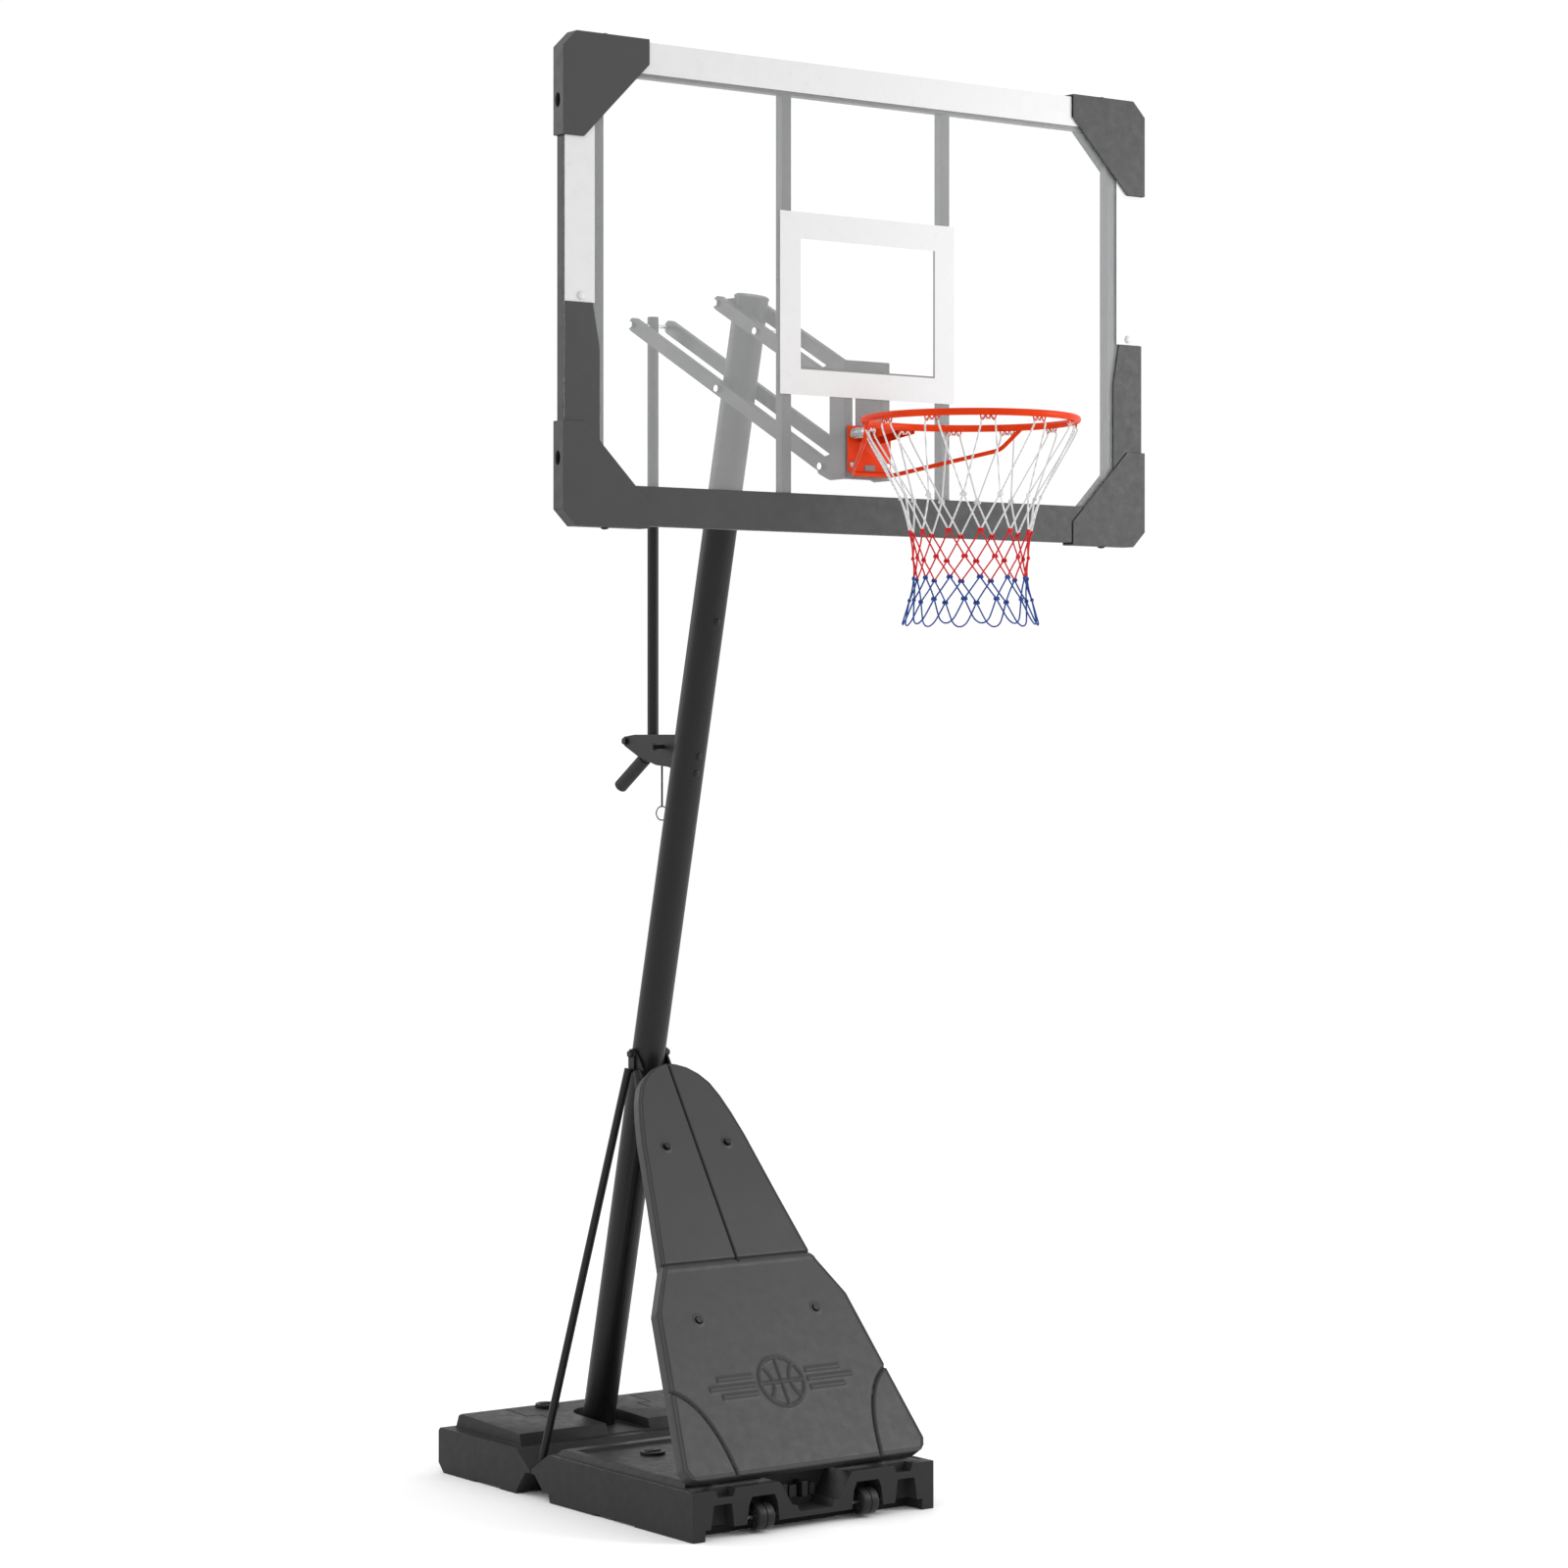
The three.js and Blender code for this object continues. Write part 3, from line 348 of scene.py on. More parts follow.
def painted_edge_highlight(tree, shader, base, highlight_colour, radius=0.001):
    """A paler painted highlight along sharp edges, from the angle between the true and the rounded normal.
    """
    rounded = tree.nodes.new("ShaderNodeBevel")
    rounded.samples = 4
    rounded.inputs["Radius"].default_value = radius
    geometry = tree.nodes.new("ShaderNodeNewGeometry")
    dot = tree.nodes.new("ShaderNodeVectorMath")
    dot.operation = "DOT_PRODUCT"
    tree.links.new(rounded.outputs["Normal"], dot.inputs[0])
    tree.links.new(geometry.outputs["Normal"], dot.inputs[1])
    amount = tree.nodes.new("ShaderNodeMapRange")
    amount.inputs["From Min"].default_value = HIGHLIGHT_START
    amount.inputs["From Max"].default_value = HIGHLIGHT_FULL
    amount.inputs["To Max"].default_value = HIGHLIGHT_STRENGTH
    tree.links.new(dot.outputs["Value"], amount.inputs["Value"])
    mix = tree.nodes.new("ShaderNodeMix")
    mix.data_type = "RGBA"
    mix.inputs["B"].default_value = (*highlight_colour, 1)
    tree.links.new(amount.outputs["Result"], mix.inputs["Factor"])
    tree.links.new(base, mix.inputs["A"])
    tree.links.new(mix.outputs["Result"], shader.inputs["Base Color"])


def painted_steel():
    """Black powder coat: a fine orange-peel skin, with faint cloudy changes in gloss."""
    material, tree, shader = new_material("black_powder_coat")
    cloud = object_noise(tree, scale=14)
    base = colour_between(tree, cloud, (0.0045, 0.0045, 0.005), (0.007, 0.007, 0.0075))
    # painted highlight along the edges, paler than the coat
    painted_edge_highlight(tree, shader, base, (0.045, 0.045, 0.047))
    tree.links.new(spread(tree, cloud, 0.36, 0.46), shader.inputs["Roughness"])
    shader.inputs["Specular IOR Level"].default_value = 0.28
    bump(tree, shader, object_noise(tree, scale=900, detail=2), strength=0.14, distance=0.0004)
    return material


def moulded_plastic(name, level, rough, edge=1.8, grain=1400, depth=0.0003, gloss=0.25):
    """Grey of the given level, with a fine grain, slight flow marks, and a painted highlight along its edges
    of edge times that level.
    """
    material, tree, shader = new_material(name)
    cloud = object_noise(tree, scale=7)
    base = colour_between(tree, cloud, (0.94 * level,) * 3, (1.05 * level, 1.05 * level, 1.06 * level))
    # painted highlight along the edges
    painted_edge_highlight(tree, shader, base, (edge * level,) * 3, radius=0.0016)
    shader.inputs["Specular IOR Level"].default_value = gloss
    flow = object_noise(tree, scale=40, detail=3)
    tree.links.new(spread(tree, flow, *rough), shader.inputs["Roughness"])
    skin = object_noise(tree, scale=grain, detail=3, roughness=0.7)
    bump(tree, shader, skin, strength=0.3, distance=depth)
    return material


def rim_paint():
    """Orange-red powder coat under a clear gloss."""
    material, tree, shader = new_material("orange_powder_coat")
    cloud = object_noise(tree, scale=20)
    base = colour_between(tree, cloud, (0.56, 0.030, 0.002), (0.67, 0.042, 0.004))
    # painted highlight along the edges, a paler orange
    painted_edge_highlight(tree, shader, base, (0.8, 0.12, 0.03))
    shader.inputs["Specular IOR Level"].default_value = 0.06
    tree.links.new(spread(tree, cloud, 0.28, 0.38), shader.inputs["Roughness"])
    shader.inputs["Coat Weight"].default_value = 0.02
    shader.inputs["Coat Roughness"].default_value = 0.15
    bump(tree, shader, object_noise(tree, scale=700, detail=2), strength=0.1, distance=0.0003)
    return material


def zinc():
    """Bright plated hardware with fine machining haze."""
    material, tree, shader = new_material("bright_zinc")
    haze = object_noise(tree, scale=160, detail=5)
    base = colour_between(tree, haze, (0.42, 0.43, 0.44), (0.62, 0.62, 0.61))
    tree.links.new(base, shader.inputs["Base Color"])
    shader.inputs["Metallic"].default_value = 1.0
    tree.links.new(spread(tree, haze, 0.16, 0.34), shader.inputs["Roughness"])
    bump(tree, shader, object_noise(tree, scale=2200, detail=2), strength=0.08, distance=0.0002)
    return material


def clear_sheet():
    """Clear polycarbonate that veils what is behind it, with faint smears in its gloss."""
    material, tree, shader = new_material("clear_polycarbonate")
    smear = object_noise(tree, scale=5, detail=6)
    base = colour_between(tree, smear, (0.80, 0.82, 0.83), (0.86, 0.87, 0.87))
    tree.links.new(base, shader.inputs["Base Color"])
    tree.links.new(spread(tree, smear, 0.04, 0.10), shader.inputs["Roughness"])
    shader.inputs["Alpha"].default_value = 0.124
    shader.inputs["IOR"].default_value = 1.2
    return material


def printed_white():
    """Screen-printed ink, slightly uneven."""
    material, tree, shader = new_material("white_print")
    cloud = object_noise(tree, scale=30, detail=5)
    base = colour_between(tree, cloud, (0.565, 0.565, 0.565), (0.585, 0.585, 0.585))
    tree.links.new(base, shader.inputs["Base Color"])
    shader.inputs["Specular IOR Level"].default_value = 0.2
    tree.links.new(spread(tree, cloud, 0.25, 0.4), shader.inputs["Roughness"])
    bump(tree, shader, object_noise(tree, scale=1500, detail=2), strength=0.05, distance=0.0002)
    return material


def braided_cord(name, groove_shade, pale):
    """Twisted polyester: a fine slanting rib, with painted shade between the strands."""
    material, tree, shader = new_material(name)
    coords = tree.nodes.new("ShaderNodeTexCoord")
    wave = tree.nodes.new("ShaderNodeTexWave")
    wave.wave_type = "BANDS"
    wave.bands_direction = "DIAGONAL"
    wave.inputs["Scale"].default_value = 130
    wave.inputs["Distortion"].default_value = 1.5
    tree.links.new(coords.outputs["Object"], wave.inputs["Vector"])
    # the colour runs from the painted shade between the strands to the strands' own colour
    tree.links.new(colour_between(tree, wave.outputs["Fac"], groove_shade, pale), shader.inputs["Base Color"])
    shader.inputs["Roughness"].default_value = 0.75
    shader.inputs["Specular IOR Level"].default_value = 0.2
    bump(tree, shader, wave.outputs["Fac"], strength=0.6, distance=0.0008)
    return material


def foam_grip():
    """Black foam rubber with open cells."""
    material, tree, shader = new_material("foam_grip")
    cells = object_noise(tree, scale=700, detail=4, roughness=0.8)
    base = colour_between(tree, cells, (0.006, 0.006, 0.006), (0.016, 0.016, 0.016))
    tree.links.new(base, shader.inputs["Base Color"])
    shader.inputs["Roughness"].default_value = 0.8
    bump(tree, shader, cells, strength=0.5, distance=0.0006)
    return material


# edge sets each plastic's painted edge highlight, as a multiple of its grey level
MATERIALS = {
    "black_steel": painted_steel(),
    "black_hardware": moulded_plastic("black_oxide", 0.010, (0.3, 0.45), edge=3, grain=2200, depth=0.0001),
    "zinc_hardware": zinc(),
    "tank_plastic": moulded_plastic("tank_polyethylene", 0.019, (0.42, 0.54), edge=2.6, gloss=0.16),
    "shield_plastic": moulded_plastic("shield_polyethylene", 0.034, (0.36, 0.46), edge=2.6),
    "guard_plastic": moulded_plastic("guard_polypropylene", 0.037, (0.42, 0.54), edge=3.4),
    "black_plastic": moulded_plastic("black_nylon", 0.008, (0.38, 0.5), edge=3),
    "grip_rubber": foam_grip(),
    "clear_sheet": clear_sheet(),
    "rim_paint": rim_paint(),
    "net_cord": braided_cord("white_cord", (0.50, 0.50, 0.50), (0.68, 0.68, 0.68)),
}
PRINT = printed_white()
# dull grey for the rim's tag, and for the painted shadow line in the target
DULL_STEEL = moulded_plastic("dull_steel", 0.16, (0.35, 0.5))
CORDS = (
    MATERIALS["net_cord"],
    braided_cord("red_cord", (0.42, 0.006, 0.010), (0.62, 0.014, 0.020)),
    braided_cord("blue_cord", (0.009, 0.036, 0.17), (0.018, 0.066, 0.28)),
)

NODE_SLOT = {s["node"]: s["material_slot"] for s in frame["record"]["subparts"]}
NODE_BODY = {n: b for b, nodes in frame["record"]["behaviour"]["bodies"].items() for n in nodes}


# ---------- mesh helpers ----------

def shade_smooth(mesh, angle=SMOOTH_ANGLE):
    for polygon in mesh.polygons:
        polygon.use_smooth = True
    mesh.set_sharp_from_angle(angle=math.radians(angle))


def finish_piece(name, bm, body, slot, material=None, replaces=(), smooth_angle=SMOOTH_ANGLE):
    """Turns bm into a shaded piece that rides on body, and stands for the CAD nodes in replaces."""
    bmesh.ops.recalc_face_normals(bm, faces=bm.faces)
    mesh = bpy.data.meshes.new(name)
    bm.to_mesh(mesh)
    bm.free()
    shade_smooth(mesh, smooth_angle)
    mesh.materials.append(material or MATERIALS[slot])
    piece = bpy.data.objects.new(name, mesh)
    bpy.context.scene.collection.objects.link(piece)
    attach(piece, body)
    if replaces:
        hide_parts(*replaces)
    return piece


def bevelled(piece, width, segments=3):
    """Breaks the piece's sharp edges; width is in metres."""
    modifier = piece.modifiers.new("edge", "BEVEL")
    modifier.width = width
    modifier.segments = segments
    modifier.limit_method = "ANGLE"
    modifier.angle_limit = math.radians(BEVEL_ANGLE)
    modifier.harden_normals = True
    modifier.use_clamp_overlap = False


def refined(node, width):
    """The CAD node with its edges broken, as a piece that stands for it."""
    bm = bmesh.new()
    bm.from_mesh(frame["nodes"][node].data)
    bmesh.ops.remove_doubles(bm, verts=bm.verts, dist=MERGE_DISTANCE)
    bmesh.ops.dissolve_limit(bm, angle_limit=math.radians(FLAT_ANGLE), verts=bm.verts, edges=bm.edges)
    piece = finish_piece(f"{node}_finish", bm, NODE_BODY[node], NODE_SLOT[node], replaces=[node])
    bevelled(piece, width, segments=2)


def turns(count):
    """Even angles round a circle, in radians."""
    return [2 * math.pi * k / count for k in range(count)]


def add_band(bm, lower, upper):
    """Faces between two rings of points; a ring of one point closes the other to a tip."""
    for k in range(max(len(lower), len(upper))):
        loop = (lower[k % len(lower)], lower[(k + 1) % len(lower)],
                upper[(k + 1) % len(upper)], upper[k % len(upper)])
        bm.faces.new(list(dict.fromkeys(loop)))


def add_tube(bm, points, radius, sides=8, closed=False):
    """Sweeps a round section along points; a small twist-free frame is carried from point to point."""
    count = len(points)
    rings = []
    across = None
    for i, point in enumerate(points):
        before = points[i - 1] if closed or i else points[i]
        after = points[(i + 1) % count] if closed or i < count - 1 else points[i]
        along = (after - before).normalized()
        if across is None:
            across = along.orthogonal().normalized()
        across = (across - along * across.dot(along)).normalized()
        other = along.cross(across)
        rings.append([
            bm.verts.new(point + radius * (math.cos(a) * across + math.sin(a) * other)) for a in turns(sides)
        ])
    for lower, upper in zip(rings, rings[1:]):
        add_band(bm, lower, upper)
    if closed:
        add_band(bm, rings[-1], rings[0])
    else:
        bm.faces.new(reversed(rings[0]))
        bm.faces.new(rings[-1])


def smooth_path(corners, samples=4):
    """A Catmull-Rom curve through the corners."""
    points = [corners[0], *corners, corners[-1]]
    path = []
    for i in range(1, len(points) - 2):
        p0, p1, p2, p3 = points[i - 1:i + 3]
        for k in range(samples):
            t = k / samples
            square = (2 * p0 - 5 * p1 + 4 * p2 - p3) * t * t
            cube = (3 * p1 - p0 - 3 * p2 + p3) * t ** 3
            path.append(0.5 * ((2 * p1) + (p2 - p0) * t + square + cube))
    path.append(corners[-1])
    return path


def rounded_path(corners, reach, samples=6):
    """Straight runs joined by curves that start at reach from each corner."""
    path = [corners[0]]
    for before, here, after in zip(corners, corners[1:], corners[2:]):
        start = here + (before - here).normalized() * reach
        end = here + (after - here).normalized() * reach
        for k in range(samples + 1):
            t = k / samples
            path.append((1 - t) ** 2 * start + 2 * t * (1 - t) * here + t * t * end)
    path.append(corners[-1])
    return path


def add_plate(bm, outline, low, high):
    """A plate in the x-z plane: outline is (x, z) in mm, and it fills y low..high."""
    front = [bm.verts.new(at(x, low, z)) for x, z in outline]
    back = [bm.verts.new(at(x, high, z)) for x, z in outline]
    add_band(bm, front, back)
    bm.faces.new(front)
    bm.faces.new(reversed(back))


def rectangle(x, z):
    """The outline between x[0]..x[1] and z[0]..z[1]."""
    return [(x[0], z[0]), (x[1], z[0]), (x[1], z[1]), (x[0], z[1])]


def add_box(bm, low, high):
    """A box between two corners in mm."""
    add_plate(bm, rectangle((low[0], high[0]), (low[2], high[2])), low[1], high[1])


def add_lathe(bm, profile, start, direction, sides):
    """Turns (radius, height) in mm about the line from start along direction."""
    along = direction.normalized()
    across = along.orthogonal().normalized()
    other = along.cross(across)
    rows = []
    for radius, height in profile:
        centre = start + along * height * MM
        if radius == 0:
            rows.append([bm.verts.new(centre)])
            continue
        rows.append([
            bm.verts.new(centre + radius * MM * (math.cos(a) * across + math.sin(a) * other))
            for a in turns(sides)
        ])
    for lower, upper in zip(rows, rows[1:]):
        add_band(bm, lower, upper)


def add_head(bm, place, direction, size):
    """A rounded bolt head of (radius, height) in mm, standing on place."""
    radius, height = size
    profile = [(0, 0), (radius, 0)]
    for k in range(HEAD_STEPS):
        a = math.pi / 2 * k / HEAD_STEPS
        level = height * (HEAD_SKIRT + (1 - HEAD_SKIRT) * math.sin(a))
        profile.append((radius * math.cos(a), level))
    profile.append((0, height))
    add_lathe(bm, profile, place, Vector(direction), HEAD_SIDES)


# ---------- rim and net ----------

def ring_point(angle, radius, z):
    """A point round the ring's axis: angle is in degrees from the player's side, towards the right."""
    a = math.radians(angle)
    return at(RING_CENTRE[0] + radius * math.sin(a), RING_CENTRE[1] - radius * math.cos(a), z)


def build_ring():
    bm = bmesh.new()
    circle = [ring_point(360 * k / RING_STEPS, RING_RADIUS, RING_CENTRE[2]) for k in range(RING_STEPS)]
    add_tube(bm, circle, RING_ROD * MM, sides=20, closed=True)
    right = [at(x, y, z) for x, y, z in BRACE_HALF]
    left = [at(-x, y, z) for x, y, z in BRACE_HALF]
    add_tube(bm, rounded_path(right + left[::-1], BRACE_BEND * MM), BRACE_ROD * MM, sides=14)
    finish_piece("rim_ring_and_brace", bm, "rim", "rim_paint", replaces=["rim_ring"])


def mirrored(side, middle):
    """Corners from the far end of one side, over the middle, to the far end of the other."""
    other_side = [(-along, *rest) for along, *rest in side]
    return [*other_side, middle, *side[::-1]]


def hook_path(angle):
    """A hook shaped like a flat W under the ring, with its middle at angle."""
    corners = []
    for along, lift in mirrored(HOOK_SIDE, HOOK_MIDDLE):
        turn = math.degrees(along / RING_RADIUS)
        corners.append(ring_point(angle + turn, RING_RADIUS - HOOK_INSET, RING_CENTRE[2] + lift))
    return smooth_path(corners, samples=5)


def build_hooks():
    bm = bmesh.new()
    for k in range(HOOKS):
        add_tube(bm, hook_path(k * 360 / HOOKS), HOOK_ROD * MM)
    finish_piece("net_hooks", bm, "rim", "rim_paint")


def add_cord(bm, corners, colour):
    add_tube(bm, smooth_path(corners), CORD_RADII[colour] * MM)


def strand(bm, start, end, colour):
    """A cord between two knots; its middle stands out from the net by CORD_BOW, or in below 0."""
    middle = (start + end) / 2
    centre = at(*RING_CENTRE)
    outward = Vector((middle.x - centre.x, middle.y - centre.y, 0)).normalized()
    add_cord(bm, [start, middle + outward * CORD_BOW * MM, end], colour)


def knot(bm, point, angle, size):
    """A wrapped knot: two short thick turns lying round the net, and a wrap over them."""
    a = math.radians(angle)
    tangent = Vector((math.cos(a), math.sin(a), 0))
    outward = Vector((math.sin(a), -math.cos(a), 0))
    upward = Vector((0, 0, 1))
    scale = size * MM
    for lift, length in KNOT_TURNS:
        corners = []
        for s in (-1, -0.5, 0, 0.5, 1):
            bulge = KNOT_BULGE * (1 - s * s)
            place = tangent * KNOT_HALF * length * s + outward * bulge + upward * lift
            corners.append(point + place * scale)
        add_tube(bm, smooth_path(corners, samples=3), KNOT_ROD * scale)
    wrap = [point + (outward * math.cos(b) + upward * math.sin(b)) * WRAP_RADIUS * scale
            for b in turns(WRAP_STEPS)]
    add_tube(bm, wrap, WRAP_ROD * scale, closed=True)


def net_knot(row, k):
    """Place and angle of knot k in a row; even rows sit half a step round."""
    radius, z = KNOT_ROWS[row]
    angle = (k + (0 if row % 2 else 0.5)) * 360 / HOOKS
    return ring_point(angle, radius, z), angle


def add_hook_cords(bm, k):
    """Two white cords from hook k down to the knots on either side."""
    middle = k * 360 / HOOKS
    turn = math.degrees(HOOK_HALF / RING_RADIUS)
    for side, target in ((1, k), (-1, k - 1)):
        over = []
        for reach, drop in CORD_OVER_HOOK:
            angle = middle + side * turn * reach
            over.append(ring_point(angle, RING_RADIUS - CORD_INSET, RING_CENTRE[2] - drop))
        end = net_knot(0, target)[0]
        add_cord(bm, [*over, (over[-1] + end) / 2, end], NET_WHITE)


def add_loop(bm, k):
    """The loop that hangs between knots k and k + 1 of the last row."""
    last = len(KNOT_ROWS) - 1
    middle = (k + 1) * 360 / HOOKS
    low = [ring_point(middle + turn, radius, z) for turn, radius, z in mirrored(LOOP_SIDE, LOOP_MIDDLE)]
    add_cord(bm, [net_knot(last, k)[0], *low, net_knot(last, k + 1)[0]], NET_BLUE)


def build_net():
    meshes = [bmesh.new() for _ in CORDS]
    for k in range(HOOKS):
        add_hook_cords(meshes[NET_WHITE], k)
        for row, colour in enumerate(ROW_COLOURS[:-1]):
            here = net_knot(row, k)[0]
            for step in ((-1, 0) if row % 2 else (0, 1)):
                strand(meshes[colour], here, net_knot(row + 1, k + step)[0], colour)
        for row, colour in enumerate(ROW_COLOURS):
            knot(meshes[colour], *net_knot(row, k), KNOT_SIZES[colour])
        add_loop(meshes[NET_BLUE], k)
    for name, bm, material in zip(NET_COLOURS, meshes, CORDS):
        replaces = ["net"] if name == "white" else []
        finish_piece(f"net_{name}", bm, "rim", "net_cord", material, replaces)


def build_springs():
    """Coil springs in place of the CAD springs, riding on the board."""
    length = SPRING_BACK - SPRING_FRONT - 2 * SPRING_WIRE
    steps = SPRING_TURNS * SPRING_STEPS
    for name in ("left", "right"):
        low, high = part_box(f"rim_spring_{name}")
        x, z = (low.x + high.x) / 2 / MM, (low.z + high.z) / 2 / MM
        points = []
        for k in range(steps + 1):
            a = 2 * math.pi * SPRING_TURNS * k / steps
            y = SPRING_FRONT + SPRING_WIRE + length * k / steps
            points.append(at(x + SPRING_RADIUS * math.cos(a), y, z + SPRING_RADIUS * math.sin(a)))
        bm = bmesh.new()
        add_tube(bm, points, SPRING_WIRE * MM)
        piece = finish_piece(f"rim_spring_coil_{name}", bm, "board", "zinc_hardware",
                             replaces=[f"rim_spring_{name}"])
        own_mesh(piece)


# ---------- board ----------

def printed(name, outlines, material=PRINT):
    bm = bmesh.new()
    for outline in outlines:
        add_plate(bm, outline, *PRINT_Y)
    finish_piece(name, bm, "board", "clear_sheet", material)


def build_border():
    """A band along the top with its corners cut, and two sides down to the edge pad."""
    half, top, foot, cut = BORDER_HALF, BORDER_TOP, BORDER_BAND_FOOT, BORDER_CUT
    crown = [(half, top - cut), (half - cut, top), (cut - half, top), (-half, top - cut)]
    side_z = (BORDER_SIDE_FOOT, foot)
    printed("printed_border", (
        [(-half, foot), (half, foot), *crown],
        rectangle((-half, -BORDER_INNER_HALF), side_z),
        rectangle((BORDER_INNER_HALF, half), side_z),
    ))


def build_target():
    """A square frame, with a painted shadow line inside it along its bottom and its right."""
    outer, hole, line = TARGET_HALF, TARGET_HOLE_HALF, TARGET_SHADOW_WIDTH
    (foot, head), (hole_foot, hole_head) = TARGET_Z, TARGET_HOLE_Z
    printed("printed_target", (
        rectangle((-outer, outer), (foot, hole_foot)),
        rectangle((-outer, outer), (hole_head, head)),
        rectangle((-outer, -hole), TARGET_HOLE_Z),
        rectangle((hole, outer), TARGET_HOLE_Z),
    ))
    # painted shadow: a dark strip along the hole's bottom and right edges
    printed("target_painted_shadow_line", (
        rectangle((-hole, hole), (hole_foot, hole_foot + line)),
        rectangle((hole - line, hole), (hole_foot + line, hole_head)),
    ), DULL_STEEL)


# ---------- shield ----------

def shield_half(z):
    for (z0, x0), (z1, x1) in zip(SHIELD_HALVES, SHIELD_HALVES[1:]):
        if z <= z1:
            return x0 + (x1 - x0) * max(0, (z - z0)) / (z1 - z0)
    return SHIELD_HALVES[-1][1]


def shield_point(x, z, out):
    """A point of the shield: out is the height above its front plane."""
    up = (z - SHIELD_FOOT[1]) / SHIELD_SLOPE.y
    y = SHIELD_FOOT[0] + up * SHIELD_SLOPE.x - out * SHIELD_SLOPE.y
    return at(x, y, z + out * SHIELD_SLOPE.x)


def bell(distance, width):
    return math.exp(-(distance / width) ** 2)


def corner_arc():
    p0, p1, p2 = (Vector(control) for control in ARC_CONTROLS)
    steps = (k / ARC_STEPS for k in range(ARC_STEPS + 1))
    return [(1 - t) ** 2 * p0 + 2 * t * (1 - t) * p1 + t * t * p2 for t in steps]


ARC = corner_arc()


def distance_to_arc(x, z):
    point = Vector((abs(x), z))
    distances = []
    for a, b in zip(ARC, ARC[1:]):
        along = b - a
        t = max(0, min(1, (point - a).dot(along) / along.length_squared))
        distances.append((point - a - along * t).length)
    return min(distances)


def edge_relief(x, z):
    """The rounded edge, with a shallow groove inside it."""
    side = (shield_half(z) - abs(x)) * SIDE_SLANT
    foot = (z - SHIELD_LOW) / SHIELD_SLOPE.y
    crown = (SHIELD_HIGH + CROWN_MARGIN - z) * CROWN_SLANT
    inset = max(0, min(side, foot, crown))
    short = EDGE_RADIUS - min(inset, EDGE_RADIUS)
    roll = math.sqrt(EDGE_RADIUS ** 2 - short ** 2) - EDGE_RADIUS
    return roll - EDGE_GROOVE_DEPTH * bell(inset - EDGE_GROOVE_INSET, EDGE_GROOVE_WIDTH)


def fold_relief(x, z):
    """The step at the fold between its ridge and its groove, and above it the crease up the middle."""
    up = z - FOLD_Z
    out = FOLD_RIDGE_HEIGHT * bell(up - FOLD_RIDGE_UP, FOLD_RIDGE_WIDTH)
    out -= FOLD_GROOVE_DEPTH * bell(up - FOLD_GROOVE_UP, FOLD_GROOVE_WIDTH)
    if up > 0:
        out -= CREASE_DEPTH * bell(x, CREASE_WIDTH) + FOLD_STEP * min(1, up / FOLD_RISE)
    return out


def screw_relief(x, z):
    """Dimples round the four screws, each with a raised lip."""
    out = 0
    for screw_x, screw_z in SHIELD_SCREWS:
        r = math.hypot(abs(x) - screw_x, (z - screw_z) / SHIELD_SLOPE.y)
        out += LIP_HEIGHT * bell(r - LIP_RADIUS, LIP_WIDTH)
        out -= DIMPLE_DEPTH * math.exp(-(r / DIMPLE_RADIUS) ** 4)
    return out


def ball_relief(x, z):
    """A plain ball with its seams, and plain bars to each side."""
    across, up = abs(x), (z - BALL_Z) / SHIELD_SLOPE.y
    r = math.hypot(across, up)
    if r < BALL_RADIUS + BALL_MARGIN:
        ridge = bell(r - BALL_RADIUS, SEAM_WIDTH)
        if r < BALL_RADIUS:
            centre, radius = BALL_RADIUS * SIDE_SEAM_CENTRE, BALL_RADIUS * SIDE_SEAM_RADIUS
            side_seam = math.hypot(across - centre, up) - radius
            ridge = max(ridge, *(bell(distance, SEAM_WIDTH) for distance in (across, up, side_seam)))
        return BALL_RELIEF * ridge
    bars = [bell(up - level, BAR_WIDTH) for level, reach in BARS if BAR_GAP < across - BALL_RADIUS < reach]
    return BAR_RELIEF * max(bars, default=0)


def shield_height(x, z):
    out = edge_relief(x, z) + fold_relief(x, z) + screw_relief(x, z) + ball_relief(x, z)
    if z < ARC_TOP:
        out -= ARC_DEPTH * bell(distance_to_arc(x, z), ARC_WIDTH)
    return out


def grid_stops(low, high, step, fine_at, reach=13, fine_step=1.1):
    """Even stops from low to high, with closer ones about the place fine_at."""
    count = round((high - low) / step)
    stops = {low + (high - low) * i / count for i in range(count + 1)}
    stops = {v for v in stops if abs(v - fine_at) > reach or v in (low, high)}
    fine = round(2 * reach / fine_step)
    stops |= {fine_at - reach + 2 * reach * i / fine for i in range(fine + 1)}
    return sorted(stops)


def with_edge_stops(stops):
    """The stops, with closer ones near both ends for the rounded edge."""
    low, high = stops[0], stops[-1]
    kept = {v for v in stops if low + EDGE_STOPS[-1] < v < high - EDGE_STOPS[-1]}
    return sorted(kept | {low + step for step in EDGE_STOPS} | {high - step for step in EDGE_STOPS})


def grid_edge(rows):
    """The outer ring of a grid, once round from its first corner."""
    return rows[0] + [row[-1] for row in rows[1:]] + rows[-1][-2::-1] + [row[0] for row in rows[-2:0:-1]]


def inset_ring(ring, amount):
    """Moves a closed ring of (x, z) inwards."""
    moved = []
    for k, (x, z) in enumerate(ring):
        before, after = Vector(ring[k - OUTLINE_SPAN]), Vector(ring[(k + OUTLINE_SPAN) % len(ring)])
        along = (after - before).normalized()
        moved.append((x - along.y * amount, z + along.x * amount))
    return moved


